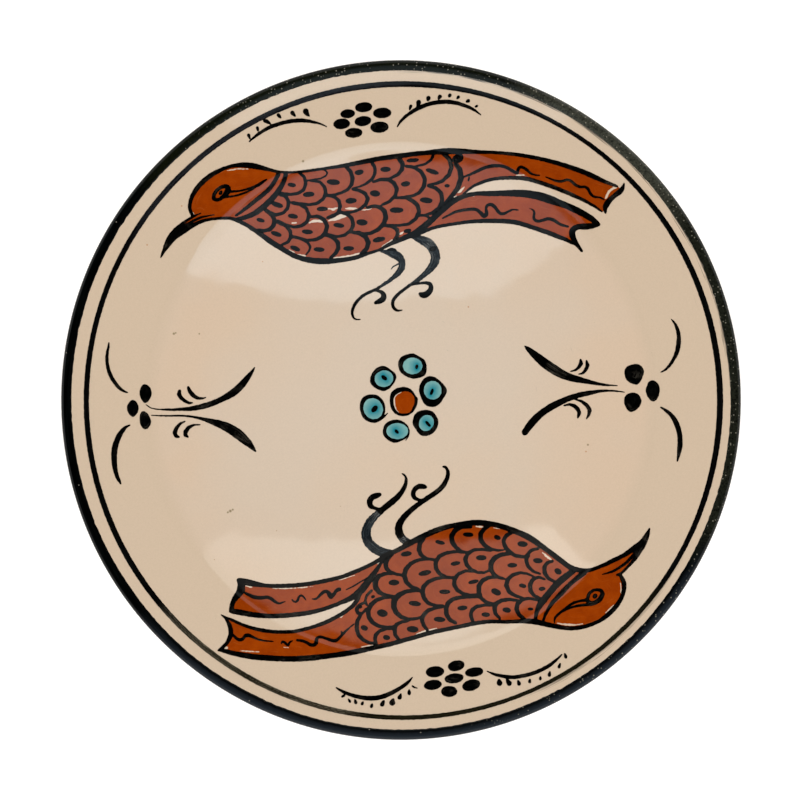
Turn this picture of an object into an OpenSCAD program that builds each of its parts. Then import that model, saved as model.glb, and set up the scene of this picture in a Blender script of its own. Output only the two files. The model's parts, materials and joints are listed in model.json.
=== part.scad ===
// Hand painted ceramic plate.
// A thrown clay dish on a turned foot ring, coated with cream glaze and painted by brush:
// a dark rim band, a lining ring, two long-tailed birds around a six petal flower,
// a spray on each side and a garland above and below.
// Millimetres. Z is up, the foot ring stands on Z = 0 and the axis is the Z axis.
// X runs to the right of the painting and Y towards the upper bird.

/* [Dish] */
// Outside diameter over the painted lip
plate_d = 250; // [220:1:300]
// Radius of the shallow bowl curve of the well
well_r = 300; // [260:5:400]
// Height of the clay at the middle of the well
well_z = 8; // [7:0.5:12]
// Distance from the axis to the crease between well and rim
crease_r = 94; // [86:1:98]
// Upward slope of the rim in degrees
rim_angle = 6.5; // [4:0.5:10]
// Upward slope of the turned-up edge of the rim in degrees
edge_angle = 11; // [8:0.5:16]
// Distance from the axis at which the rim turns up
turn_r = 114.3; // [112:0.1:116]
// Roundness of the back of the lip
lip_r = 2.2; // [1.8:0.1:3]
// Roundness of the edge between the face and the lip
edge_r = 0.8; // [0.5:0.1:1.6]

/* [Foot] */
// Outside radius of the foot ring
foot_r = 68; // [60:1:72]
// Width of the foot ring
foot_w = 8; // [6:0.5:10]
// Height of the hollow inside the foot ring
hollow_z = 3; // [2:0.5:4]

/* [Coats] */
// Thickness of the cream glaze
glaze_t = 0.4; // [0.3:0.1:0.8]
// Thickness of the painted colours
paint_t = 0.2; // [0.15:0.05:0.4]

/* [Painting] */
// Smoothing steps between two brush points
steps = 2; // [2:1:4]

/* [Hidden] */
$fa = 2;
$fs = 0.4;
// sides of the large circle that cuts the well
well_sides = 900;
// steps between the brush points of short strokes, which lie close together
close_steps = 1;
// width of a hair of the brush
hair = 0.08;
// a height clear of the lip
above_dish = 40;
// the painting is drawn for a 250 mm plate and scales with the dish
art_scale = plate_d / 250;
well_c = well_z + well_r;
crease_z = well_c - sqrt(well_r * well_r - crease_r * crease_r);
rim_slope = tan(rim_angle);
edge_slope = tan(edge_angle);
foot_in = foot_r - foot_w;
coats_t = glaze_t + paint_t;
lip_x = plate_d / 2 - coats_t - lip_r;
lip_z = rim_z(lip_x, 0) - lip_r / cos(edge_angle);
edge_x = lip_x + lip_r - edge_r;
edge_z = rim_z(edge_x, 0) - edge_r / cos(edge_angle);
clay = [0.80, 0.62, 0.46];
cream = [0.86, 0.77, 0.68];
black = [0.09, 0.10, 0.10];
green_black = [0.08, 0.10, 0.09];
grey_wash = [0.36, 0.40, 0.43];
rust = [0.68, 0.29, 0.11];
turquoise = [0.45, 0.67, 0.65];

// ---------------------------------------------------------------- dish sections

// height of the rim face at distance r, raised by a skin of thickness s
function rim_z(r, s) =
  crease_z + (min(r, turn_r) - crease_r) * rim_slope + max(r - turn_r, 0) * edge_slope
    + s / cos(edge_angle);

// back of the dish from the foot ring to the lip, grown by a skin of thickness s
function back_line(s) = [
  [foot_r + s, 6.5],
  [foot_r + 3.5 + s * 0.7, 9.6 - s * 0.7],
  [foot_r + 9 + s * 0.5, 12.6 - s * 0.9],
  [foot_r + 16 + s * 0.4, 15.4 - s * 0.9],
  [foot_r + 24 + s * 0.3, 17.6 - s],
  [foot_r + 34 + s * 0.2, 19.6 - s]
];

// points on an arc about [x, z]
function arc(x, z, r, from, to, count) = [
  for (i = [0 : count])
    let (a = from + (to - from) * i / count)
    [x + r * cos(a), z + r * sin(a)]
];

// lip from the back of the rim round to its face, grown by a skin of thickness s
function lip_line(s) = concat(
  arc(lip_x, lip_z, lip_r + s, edge_angle - 90, 0, 5),
  arc(edge_x, edge_z, edge_r + s, 0, edge_angle + 90, 6)
);

// everything below the raised face of the dish, cut flat underneath at height low
module below_face(s, low) {
  difference() {
    polygon([
      [0, low], [0, rim_z(crease_r - 3, s)],
      [crease_r - 3, rim_z(crease_r - 3, s)], [turn_r, rim_z(turn_r, s)],
      [lip_x - 1, rim_z(lip_x - 1, s)], [lip_x - 1, low]
    ]);
    translate([0, well_c]) circle(r = well_r - s, $fn = well_sides);
  }
}

// half section of the clay
module clay_section() {
  difference() {
    polygon(concat(
      [
        [0, hollow_z], [foot_in - 2, hollow_z + 1.6], [foot_in, hollow_z],
        [foot_in + 0.4, 0.8], [foot_in + 1.4, 0],
        [foot_r - 1.2, 0], [foot_r, 1]
      ],
      back_line(0),
      lip_line(0),
      [
        [turn_r, rim_z(turn_r, 0)],
        [crease_r - 3, rim_z(crease_r - 3, 0)],
        [0, rim_z(crease_r - 3, 0)]
      ]
    ));
    translate([0, well_c]) circle(r = well_r, $fn = well_sides);
  }
}

// half section of the glaze over the face, the lip and the back down to the foot
module glaze_section() {
  difference() {
    polygon(concat(
      [[0, 5], [foot_in + 2, 5], [foot_in + 3, 2.2], [foot_r + glaze_t, 2.2]],
      back_line(glaze_t),
      lip_line(glaze_t),
      [
        [turn_r, rim_z(turn_r, glaze_t)],
        [crease_r - 3, rim_z(crease_r - 3, glaze_t)],
        [0, rim_z(crease_r - 3, glaze_t)]
      ]
    ));
    translate([0, well_c]) circle(r = well_r - glaze_t, $fn = well_sides);
    clay_section();
  }
}

// thin layer lying on the glazed face, as thick as the paint
module paint_layer() {
  rotate_extrude()
    difference() {
      below_face(coats_t, 2);
      below_face(glaze_t, 1);
    }
}

// lays a flat drawing on the face of the dish, its strokes joined where they cross
module painted() {
  intersection() {
    linear_extrude(height = above_dish) scale(art_scale) offset(delta = 0) children();
    paint_layer();
  }
}

// ---------------------------------------------------------------- brush work

// point between b and c on a smooth curve through a, b, c, d
function between(a, b, c, d, t) =
  0.5 * (2 * b + (c - a) * t + (2 * a - 5 * b + 4 * c - d) * t * t
    + (3 * b - a - 3 * c + d) * t * t * t);

// smooth open curve through the points, n steps from one to the next
function flow(p, n) = [
  for (i = [0 : len(p) - 2], k = [0 : n - 1])
    between(p[max(i - 1, 0)], p[i], p[i + 1], p[min(i + 2, len(p) - 1)], k / n),
  p[len(p) - 1]
];

// smooth closed curve through the points
function closed(p) = [
  for (i = [0 : len(p) - 1], k = [0 : steps - 1])
    let (n = len(p))
    between(p[(i + n - 1) % n], p[i], p[(i + 1) % n], p[(i + 2) % n], k / steps)
];

// list of points in the opposite order
function back_to_front(p) = [for (i = [len(p) - 1 : -1 : 0]) p[i]];

// plain [x, y] points of a list that carries widths
function flat(p) = [for (q = p) [q[0], q[1]]];

// point on one side of a stroke
function side(c, i, s) =
  let (
    a = c[max(i - 1, 0)],
    b = c[min(i + 1, len(c) - 1)],
    run = max(norm([b[0] - a[0], b[1] - a[1]]), 0.001),
    half = s * max(c[i][2], 0.12) / 2
  )
  [c[i][0] - (b[1] - a[1]) / run * half, c[i][1] + (b[0] - a[0]) / run * half];

// brush stroke through [x, y, width] points
module brush(points, n = steps) {
  c = flow(points, n);
  for (i = [0 : len(c) - 2])
    polygon([side(c, i, 1), side(c, i + 1, 1), side(c, i + 1, -1), side(c, i, -1)]);
  for (e = [c[0], c[len(c) - 1]])
    translate([e[0], e[1]]) circle(d = max(e[2], 0.12), $fn = 8);
}

// several brush strokes
module strokes(list, n = steps) {
  for (points = list) brush(points, n);
}

// filled shape with a smooth edge
module pool(points) {
  polygon(closed(points));
}

// leaf-shaped dab: [x, y, half length, half width, tilt]
module dab(d) {
  translate([d[0], d[1]]) rotate(d[4])
    polygon([for (a = [0 : 30 : 330]) [d[2] * cos(a), d[3] * sin(a)]]);
}

// several dabs
module dabs(list) {
  for (d = list) dab(d);
}

// drops slivers thinner than two hairs from a filled area: the area shrinks by one
// hair and grows back, and a smaller back leaves a hairline of bare glaze round it
module tidy(back = hair) {
  offset(delta = back) offset(delta = -hair) children();
}

// ---------------------------------------------------------------- upper bird

ub_crown = [
  [-76.4, 67.6, 1.0], [-77.6, 70, 1.2], [-77.3, 73.5, 1.3], [-75.4, 77.2, 1.6],
  [-72.2, 80.8, 1.7], [-68, 83.7, 1.5], [-63, 85.8, 1.1], [-58, 86.4, 1.8],
  [-53.5, 85.9, 2.0], [-49, 84.8, 1.2], [-45, 83.9, 0.9]
];
ub_back = [
  [-45, 83.9, 0.9], [-40.5, 83.7, 0.7], [-35.5, 84.1, 0.9], [-30, 84.9, 0.9],
  [-25, 85.6, 1.1], [-20, 86.4, 1.4], [-14, 87.6, 1.6], [-8, 88.8, 1.6],
  [-2, 89.6, 1.7], [4, 90.4, 1.6], [10, 91, 1.6], [15.5, 91.4, 2.2], [21, 91.5, 2.0],
  [28, 91.2, 1.3], [34.5, 91, 1.1], [41, 90.4, 1.2], [47.5, 89.4, 1.3], [54, 88, 1.4],
  [60.5, 86.1, 1.6], [66.5, 84, 1.7], [71, 82, 1.8], [75, 80.2, 1.3], [79.5, 78.5, 0.8]
];
ub_belly = [
  [-69, 66.6, 0.9], [-65, 66.9, 1.0], [-62.5, 66.8, 1.1], [-60, 65.9, 1.3],
  [-56.5, 64.2, 1.4], [-52.2, 61.4, 1.6], [-48.2, 58.5, 1.9], [-44.2, 56, 1.8],
  [-40.2, 53.6, 1.7], [-36.2, 52.1, 1.8], [-32.2, 51.4, 2.1], [-28.2, 51.2, 2.1],
  [-24.2, 51.4, 1.7], [-20.2, 51.9, 1.5], [-16.2, 52.7, 1.4], [-12.2, 54.1, 1.1],
  [-8.2, 55.3, 0.9], [-4.2, 57.5, 1.3], [-0.2, 59.2, 1.7], [4.5, 61.2, 2.0]
];
ub_long_tail_under = [
  [22.4, 75.3, 0.5], [24.5, 77.2, 0.7], [27, 78.9, 0.9], [30.5, 80.4, 1.1],
  [34, 81.3, 1.1], [38, 81.7, 1.2], [42.5, 81.7, 1.3], [46.5, 81.3, 1.4],
  [50, 80.3, 1.4], [54, 79, 1.4], [58, 77.5, 1.4], [62.5, 75.6, 1.3], [67, 73.5, 1.1],
  [71, 71.3, 0.9], [74, 69.1, 0.4]
];
ub_long_tail_end = [
  [82, 79.7, 0.4], [81.6, 78.2, 1.1], [80.7, 76.9, 2.0], [79, 75.4, 1.7],
  [77, 73.8, 1.7], [75.6, 72, 2.2], [75, 70.4, 1.6], [75.2, 68.7, 0.6]
];
ub_short_tail_top = [
  [4.5, 61.4, 1.6], [7, 63, 2.0], [10, 65.2, 2.2], [13, 68, 2.1], [16, 70.6, 2.0],
  [19.5, 73.4, 1.9], [23, 75, 1.6], [27.5, 76, 1.4], [32.5, 76, 1.8], [37, 76.1, 1.9],
  [41, 76.1, 2.3], [45.5, 75.9, 2.6], [50, 75.2, 2.8], [54, 74, 3.0], [57.5, 72.7, 2.5],
  [61, 71.4, 2.2], [64, 70, 2.3], [67.5, 68.2, 2.2], [70.5, 66.3, 2.0], [72.3, 64.8, 1.5]
];
ub_short_tail_end = [
  [72.6, 64.6, 1.4], [70, 64, 2.0], [67.5, 63.8, 2.2], [65, 63.7, 1.9],
  [63.2, 62.6, 2.2], [63, 60.8, 2.2], [63.8, 58.8, 1.8], [65, 56.9, 1.3],
  [66.6, 54.8, 0.8]
];
ub_short_tail_under = [
  [5, 61, 1.6], [7.8, 61.8, 1.2], [11, 63.2, 1.1], [15.5, 64.3, 1.1], [20, 65, 1.1],
  [25, 65.7, 1.2], [30, 66, 1.4], [35, 66, 1.5], [40.5, 65.7, 1.6], [44, 65, 1.6],
  [47.5, 63.9, 1.5], [51, 62.7, 1.5], [54.5, 61.5, 1.6], [58, 60.1, 1.5],
  [61, 58.9, 1.3], [64.3, 57.2, 0.9]
];
ub_beak = [
  [[-88.4, 52.2, 0.3], [-87.1, 55, 1.3], [-85.7, 57.5, 2.4], [-84, 60, 3.1],
    [-82, 61.9, 3.3], [-80.4, 63.2, 2.0]],
  [[-83, 62.4, 1.6], [-80.2, 64.9, 1.1], [-77, 67.1, 0.8], [-73.5, 68.7, 0.3]],
  [[-82, 62, 1.5], [-79, 64.2, 1.2], [-76, 66, 0.9], [-73, 67.3, 0.7], [-68.5, 68.1, 0.2]],
  [[-83, 60, 1.6], [-80, 61.9, 1.6], [-77.5, 63.6, 1.5], [-74.5, 65.2, 1.3],
    [-71.5, 66.2, 1.1], [-69, 66.6, 0.9]]
];
ub_front_collar = [
  [-45.1, 83.2, 1.5], [-46, 81.2, 1.4], [-48.3, 77.8, 1.5], [-51.7, 74.8, 1.5],
  [-55.1, 72.1, 1.3], [-58.1, 69.7, 1.1], [-60.8, 67.8, 0.7]
];
ub_rear_collar = [
  [-42.4, 83, 1.6], [-43.2, 80.2, 1.6], [-45.4, 76.5, 1.8], [-48.4, 73.1, 2.0],
  [-51.8, 70.1, 2.0], [-55.2, 68, 1.7], [-58.5, 66.9, 1.4], [-60.8, 66.5, 1.0]
];
// each scale is one curl of the brush, opening towards the head
ub_scale_curls = [
  [[-37.5, 83.6, 0.8], [-35.6, 82.1, 1.1], [-35, 79.7, 1.2], [-35.8, 77.4, 1.2],
    [-37.8, 76.1, 1.1], [-40.8, 75.6, 1.0], [-44.4, 76.2, 0.9]],
  [[-28.2, 84.6, 0.5], [-27, 83.7, 0.5], [-27.6, 82.5, 0.5], [-29.6, 81.5, 0.5],
    [-32.2, 81.1, 0.5], [-34.6, 80.7, 0.6]],
  [[-33.4, 80.8, 0.8], [-29.9, 80.3, 1.0], [-28.2, 78.5, 1.2], [-27.7, 76.1, 1.3],
    [-28.7, 74, 1.2], [-31, 72.4, 1.1], [-34, 71.9, 1.0], [-37, 72.3, 0.9],
    [-40.2, 72.7, 1.0]],
  [[-20.2, 85.7, 1.2], [-18.6, 84.2, 1.4], [-17.8, 81.7, 1.5], [-18.2, 79.3, 1.3],
    [-19.6, 77.5, 1.1], [-22, 76.3, 0.9], [-24.8, 75.5, 0.9], [-27.6, 75.5, 0.7]],
  [[-10.6, 87.2, 1.2], [-9.6, 85.5, 1.2], [-9.6, 83.3, 1.1], [-10.7, 81.3, 1.1],
    [-12.8, 79.7, 0.8], [-15.4, 78.5, 0.6], [-18, 78, 0.4]],
  [[-0.6, 88.7, 1.7], [0.6, 86.9, 1.6], [0.4, 84.9, 1.5], [-1, 83.1, 1.2],
    [-4, 81.6, 0.8]],
  [[1.8, 86.1, 1.0], [5, 85.6, 1.2], [7.4, 84, 1.4], [8.8, 81.5, 1.5], [8.5, 78.8, 1.5],
    [6.9, 76.5, 1.2], [4.4, 75.2, 1.0], [1.8, 75, 0.8]],
  [[11.8, 89.8, 1.0], [11.1, 88.4, 0.9], [8.8, 86.8, 0.8], [5.5, 86, 0.7]],
  [[15.5, 90.8, 1.6], [17.8, 88.6, 1.5], [18.6, 85.8, 1.6], [17.7, 82.9, 1.4],
    [15, 80.5, 1.2], [12.5, 79.6, 1.0], [10, 79.1, 0.9]],
  [[20, 87, 1.4], [21.7, 84.7, 1.9], [22.1, 81.5, 2.0], [20.8, 77.8, 1.7],
    [18.2, 74.6, 1.5], [16, 72, 1.4]],
  [[-17.8, 77.6, 0.9], [-15.4, 77.2, 1.2], [-13.2, 76.1, 1.4], [-12.2, 74.1, 1.4],
    [-13, 72.1, 1.3], [-15.2, 70.3, 1.0], [-17.8, 69.3, 0.9], [-21.5, 69, 1.0]],
  [[-10.4, 80.3, 0.8], [-7.4, 81.2, 1.2], [-4.6, 81.2, 1.4], [-2.6, 79.9, 1.5],
    [-1.5, 77.7, 1.5], [-2.1, 75.3, 1.3], [-4.2, 73.2, 1.1], [-7, 71.9, 0.9]],
  [[10.1, 78.9, 1.0], [12.9, 78, 1.3], [14.8, 76.2, 1.5], [15.2, 73.6, 1.5],
    [14.1, 70.8, 1.4], [11.5, 69, 1.1], [8.6, 68.1, 0.8]],
  [[-44.6, 75.6, 1.1], [-42.4, 75, 1.3], [-41.3, 72.9, 1.4], [-41.8, 70.5, 1.2],
    [-43.4, 68.9, 1.1], [-46, 68.1, 1.2], [-48.2, 69, 1.2], [-50.2, 70.3, 0.9]],
  [[-40.2, 72.5, 0.9], [-37.4, 72, 1.0], [-35, 70.7, 1.2], [-33.9, 68.3, 1.3],
    [-34.5, 65.8, 1.3], [-36.6, 64.2, 1.2], [-39.4, 63.7, 1.0], [-42.4, 64.5, 1.0],
    [-45.4, 65.9, 1.2]],
  [[-27.4, 75.3, 0.9], [-24.8, 75, 1.2], [-23, 73.6, 1.3], [-22.4, 71.3, 1.3],
    [-23, 69.3, 1.2], [-24.8, 67.7, 1.0], [-27.2, 67.1, 0.9]],
  [[-49.8, 69.6, 1.0], [-47.8, 68.4, 1.4], [-46.6, 66.5, 1.6], [-46.8, 64.5, 1.6],
    [-48.3, 62.8, 1.4], [-50.4, 62.3, 1.2], [-52.6, 62.7, 0.9]],
  [[-45.6, 65.5, 1.0], [-42.6, 64.3, 1.2], [-40.8, 62.3, 1.3], [-40.6, 60, 1.3],
    [-41.7, 58.1, 1.1], [-43.9, 57.3, 0.8]],
  [[-33.6, 67.5, 0.9], [-30.6, 67.7, 1.3], [-28.4, 66.5, 1.5], [-27.2, 64.1, 1.6],
    [-27.8, 61.9, 1.5], [-29.2, 60.2, 1.3], [-31.6, 59.1, 1.2], [-34.6, 58.9, 1.0],
    [-37.6, 59.7, 1.0], [-40.2, 60.3, 0.9]],
  [[-27, 67.3, 0.9], [-24.5, 68.3, 1.0], [-22.2, 69.2, 1.2], [-19.8, 68.5, 1.3],
    [-18.1, 66.9, 1.4], [-17.6, 64.5, 1.4], [-18.5, 62.5, 1.3], [-20.8, 60.8, 1.1],
    [-23.6, 60.2, 0.9], [-27, 61.1, 1.0]],
  [[-12.6, 70.9, 0.9], [-10.2, 71.5, 1.2], [-7.8, 71.1, 1.5], [-6.1, 69.6, 1.7],
    [-5.6, 67.3, 1.8], [-6.4, 64.9, 1.6], [-8.4, 62.9, 1.4], [-11.2, 61.5, 1.2],
    [-14.2, 61.2, 1.1], [-17.8, 61.9, 1.1]],
  [[-1.9, 74.5, 0.9], [1.8, 74.6, 1.2], [4.3, 73.4, 1.4], [6.1, 71.8, 1.5],
    [6.7, 69.4, 1.5], [5.5, 66.9, 1.3], [2.9, 64.9, 1.1], [-0.6, 64.4, 0.9],
    [-5, 64.4, 1.0]],
  [[-40.2, 60.1, 0.8], [-37, 59.5, 1.0], [-34.6, 58.3, 1.0], [-33.4, 56.5, 0.9],
    [-34, 54.9, 0.7], [-35.2, 53.4, 0.4]],
  [[-27.8, 60.9, 1.1], [-25, 60, 1.4], [-23.3, 58.1, 1.6], [-23.1, 56, 1.5],
    [-24.2, 54, 1.3], [-26, 52.6, 0.9]],
  [[-18.2, 61.9, 1.1], [-15.4, 61.6, 1.6], [-13.2, 60.4, 1.8], [-12, 58.1, 1.8],
    [-12.7, 55.8, 1.6], [-14.6, 54, 1.3]],
  [[-6.6, 64.5, 1.0], [-3.4, 64.1, 1.3], [-1.4, 62.9, 1.5], [-1.2, 60.9, 1.4],
    [-2.6, 58.8, 1.1]],
  [[6.9, 68.1, 0.9], [9.2, 68.1, 0.9], [10.8, 66.9, 0.8]]
];
ub_dots = [
  [-40.2, 79.1, 1.6, 0.7, -8], [-34, 75.7, 2.2, 0.9, 5], [-24.9, 80.2, 2.5, 1.0, -4],
  [-15.4, 83.8, 1.7, 0.9, 10], [-5.7, 84.9, 2.0, 0.9, 0], [4.3, 88.2, 2.4, 0.7, 4],
  [1.7, 79.6, 1.7, 0.9, 8], [11.5, 84.1, 2.6, 0.8, -18], [17, 78.9, 1.0, 0.6, 0],
  [-18.4, 73.4, 2.1, 1.0, 4], [-9.6, 76.1, 1.9, 1.1, -4], [9.3, 73.6, 2.4, 1.0, -6],
  [-45.6, 71.9, 2.3, 0.9, -18], [-39.8, 67.7, 1.9, 0.8, -8], [-29, 70.4, 2.1, 0.8, 2],
  [-51.7, 66.2, 1.6, 0.7, -16], [-46, 61.2, 2.1, 0.8, -18], [-34.5, 62, 2.1, 0.8, -4],
  [-22.9, 64.4, 2.1, 0.8, -8], [-14.4, 65.5, 2.1, 1.1, -4], [-1.6, 70, 2.6, 1.0, 0],
  [-39, 55.9, 2.0, 0.8, -22], [-30.2, 55.5, 2.1, 0.8, -4], [-19.3, 55.9, 2.1, 0.8, 2],
  [-8.1, 59.2, 2.4, 0.9, 12], [2.4, 62.4, 1.5, 0.7, 12], [20.9, 88.8, 2.2, 1.6, 25]
];
ub_eye_ring = [
  [-68.9, 74, 1.2], [-68.6, 75.8, 1.3], [-67.3, 77.4, 1.2], [-65.6, 78.4, 1.3],
  [-63.9, 78.5, 1.6], [-63.6, 77.2, 2.2], [-64.5, 75.6, 1.9], [-66, 74.3, 1.3],
  [-67.6, 73.5, 1.2], [-68.9, 74, 1.2]
];
ub_eye_trails = [
  [[-63, 76.6, 0.9], [-59.1, 76.9, 0.6], [-55.1, 78, 0.8], [-52.4, 79.1, 1.1],
    [-50.7, 80.3, 0.9], [-49.3, 81.2, 0.3]],
  [[-65, 74.6, 0.8], [-61.8, 74.9, 0.6], [-59.1, 75.6, 0.7], [-56.4, 76.6, 0.6],
    [-54, 77.8, 0.5]]
];
ub_veins = [
  [[22.8, 82, 0.5], [25.4, 83, 0.8], [28.3, 84.3, 1.1], [30.9, 85.5, 1.1],
    [33.9, 86.1, 1.2], [36.9, 86.1, 1.1], [39, 85.4, 1.1], [41.1, 84.2, 1.1],
    [42.9, 83.4, 1.1], [43, 84.8, 1.0], [43.9, 85.7, 1.0], [45.8, 85, 1.0],
    [47.1, 83.8, 0.8], [48.8, 82.8, 0.6], [51.1, 82.6, 0.3]],
  [[53, 82.1, 0.3], [56, 80.9, 0.6], [58.6, 80.3, 0.9], [60.7, 80.9, 0.9],
    [62.4, 80.6, 0.9], [64.1, 79.1, 1.0], [65.8, 78.3, 0.9], [67.9, 78.3, 0.9],
    [69, 77.2, 1.0], [69.8, 75.6, 0.9], [71.3, 74.6, 0.7], [73, 74.5, 0.6],
    [74.7, 73.6, 0.4]],
  [[25.1, 82.2, 0.4], [24.8, 80.8, 0.7]],
  [[15.2, 66.9, 0.4], [17.5, 68.1, 0.6], [20.3, 69.4, 0.9], [23.6, 70.1, 1.0],
    [27.3, 70.3, 1.1], [29.1, 69.2, 1.2], [30.6, 67.8, 1.6], [31.6, 68.6, 1.3],
    [31.3, 70.4, 0.9], [31.8, 71.7, 1.0], [33.3, 72, 1.2], [34.8, 70.8, 1.1],
    [36.1, 69.1, 1.1], [37.5, 68.5, 1.0], [39.3, 69.3, 0.8], [41.2, 70.1, 0.5],
    [43.5, 69.9, 0.3]],
  [[47.1, 70.5, 0.2], [48.6, 70, 0.5], [49.1, 68.7, 0.8], [48.9, 67, 0.9],
    [49.8, 65.9, 1.0], [51.7, 66, 1.0], [53.9, 66.7, 1.1], [56, 66.3, 1.1],
    [57.7, 65.2, 1.0], [59.4, 64.3, 0.9], [61.5, 63.8, 0.7]]
];
ub_thigh_strokes = [
  [[-7.4, 54.8, 0.6], [-5.3, 54.6, 2.0], [-2.6, 53.9, 3.2], [-0.4, 52.4, 3.0],
    [0.5, 50.2, 2.4], [-0.4, 47.7, 2.4], [-2.7, 45.3, 1.7], [-6, 42.9, 1.2],
    [-9.3, 40.9, 0.8]],
  [[-3.8, 48.1, 0.2], [-2.6, 49.4, 0.5], [-0.7, 50.3, 0.6]],
  [[4, 60.3, 1.0], [7.2, 59.2, 3.0], [10.2, 57.8, 3.7], [12, 55.4, 3.6],
    [12.8, 52.6, 3.5], [11.8, 49.8, 3.1], [9.3, 46.9, 2.1], [6, 44.2, 1.6],
    [2.4, 41.8, 1.1]]
];
ub_toe_strokes = [
  [[-8.2, 41.3, 0.9], [-12.2, 39.6, 1.0], [-15, 37.8, 1.0], [-17, 35.4, 1.1],
    [-18, 32.9, 0.9], [-17.8, 30.9, 0.7], [-16.8, 29.8, 0.5], [-14.8, 29.8, 0.2]],
  [[-9.8, 40.4, 0.5], [-7.6, 40.1, 1.1], [-6.3, 38.7, 1.8], [-6.9, 37.1, 2.1],
    [-8.4, 36.3, 1.6], [-9.6, 35.8, 0.9]],
  [[2.6, 41.9, 0.9], [-1.2, 39, 1.1], [-3, 36.4, 1.1], [-2.8, 34.3, 1.1],
    [-1.3, 33, 0.8], [0.6, 33.3, 0.2]],
  [[4.1, 42.5, 0.4], [6.4, 43, 0.7], [8.8, 43.3, 0.9], [10.8, 42.8, 1.4],
    [11, 41, 1.8], [9.9, 39.4, 2.1], [8.3, 38.7, 2.3], [7, 39.2, 1.2]],
  [[-5, 55.4, 0.4], [-3.5, 55.8, 0.7], [-2, 55.4, 0.7]],
  [[11, 55.6, 0.7], [12.4, 56, 0.9]]
];
// bare streaks the colour brush left between the scales and along the belly
ub_bare_streaks = [
  [[-34.5, 65.2, 0.3], [-32, 66, 1.0], [-29.5, 65.9, 0.9], [-28, 65.3, 0.3]],
  [[-27, 66, 0.3], [-24, 66.9, 1.3], [-21.5, 67.9, 1.7], [-19.5, 68.2, 0.4]],
  [[-27.2, 70.6, 0.2], [-25, 70.2, 0.9], [-23.4, 70.9, 0.4]],
  [[-20.6, 70.6, 0.3], [-18.4, 70.5, 1.0], [-16.2, 70.6, 0.3]],
  [[-15, 69.9, 0.2], [-12.4, 70.2, 0.5], [-10.5, 70.6, 0.2]],
  [[-40.5, 65.2, 0.2], [-39.4, 65.2, 0.6], [-38.4, 65.3, 0.2]],
  [[-41.5, 55.5, 0.3], [-38.5, 53.6, 0.7], [-35, 53.2, 0.5]],
  [[-25, 52.5, 0.3], [-19, 53, 0.9], [-14.5, 54.4, 0.4]],
  [[-7.5, 56.4, 0.2], [-3.5, 58.6, 0.8], [-1.6, 60.5, 0.4]],
  [[-0.4, 61.2, 0.9], [1, 62, 0.4]],
  [[20.4, 76.3, 0.4], [21.8, 77, 1.2], [23.4, 78.5, 0.3]],
  [[22, 75.4, 0.4], [19.2, 74.7, 0.5], [17.6, 73.2, 0.2]],
  [[24.6, 75, 0.2], [26.5, 75.1, 0.6], [28, 75.3, 0.2]],
  [[41, 74.9, 0.2], [44, 74.8, 0.6], [46.5, 74.5, 0.2]],
  [[42, 82.6, 0.2], [44, 82.7, 0.5], [45.6, 82.7, 0.2]],
  [[75.2, 74.2, 0.8], [76.4, 76.6, 0.9], [78.2, 78, 0.9], [79.6, 78, 0.4]],
  [[-76.2, 68.2, 0.8], [-76.8, 69.6, 0.3]],
  [[-64, 84.3, 0.2], [-60, 85, 0.5], [-56, 84.9, 0.2]]
];

// closed outline of the whole bird along the middle of its outline strokes
ub_edge = concat(
  flat(ub_crown),
  flat(ub_back),
  [[81, 77.2], [79, 75.4], [77, 73.8], [75.6, 72], [75, 70]],
  back_to_front(flat(ub_long_tail_under)),
  [[27.5, 76], [37, 76], [45.5, 75.9], [54, 74], [64, 70], [71, 65.8]],
  [[70, 64], [65, 63.7], [63.2, 62.6], [63, 60.8], [63.6, 58]],
  back_to_front(flat(ub_short_tail_under)),
  back_to_front(flat(ub_belly)),
  [[-74.5, 65.2], [-80, 62], [-82, 62], [-80.2, 64.9], [-77.5, 66.8]]
);

// part of the drawing in front of the rear collar
module ub_head_side() {
  polygon(concat([[-42, 95], [-95, 95], [-95, 40], [-60.4, 60]],
    back_to_front(flat(ub_rear_collar))));
}

// part of the drawing behind the last scale
module ub_tail_side() {
  polygon([
    [20, 95], [20.6, 87], [22.1, 83], [21.6, 79], [19.4, 76], [16.4, 71],
    [10, 65.2], [4.5, 61.3], [4.5, 50], [95, 50], [95, 95]
  ]);
}

module ub_lines() {
  strokes([
    ub_crown, ub_back, ub_belly, ub_long_tail_under, ub_long_tail_end,
    ub_short_tail_top, ub_short_tail_end, ub_short_tail_under
  ]);
  strokes(ub_beak);
}

module ub_collars() {
  brush(ub_front_collar);
  brush(ub_rear_collar);
}

module ub_eye_lines() {
  brush(ub_eye_ring);
  strokes(ub_eye_trails);
  dab([-66.3, 76.2, 0.95, 0.6, 52]);
}

// everything the colour brush has to stay clear of
module ub_keep_out() {
  ub_lines();
  ub_collars();
  strokes(ub_scale_curls, close_steps);
  dabs(ub_dots);
  ub_eye_lines();
  strokes(ub_veins);
  strokes(ub_bare_streaks, close_steps);
}

module upper_bird_body_fill() {
  color(rust) painted() tidy(0.75 * hair) difference() {
    polygon(ub_edge);
    ub_head_side();
    ub_tail_side();
    ub_keep_out();
  }
}

module upper_bird_head_fill() {
  color(rust) painted() tidy() difference() {
    intersection() {
      polygon(ub_edge);
      ub_head_side();
    }
    ub_keep_out();
  }
}

module upper_bird_tail_fill() {
  color(rust) painted() tidy() difference() {
    intersection() {
      polygon(ub_edge);
      ub_tail_side();
    }
    ub_keep_out();
  }
}

module upper_bird_outline() {
  color(black) painted() ub_lines();
}

module upper_bird_collar() {
  color(black) painted() tidy() difference() {
    ub_collars();
    ub_lines();
  }
}

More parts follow.
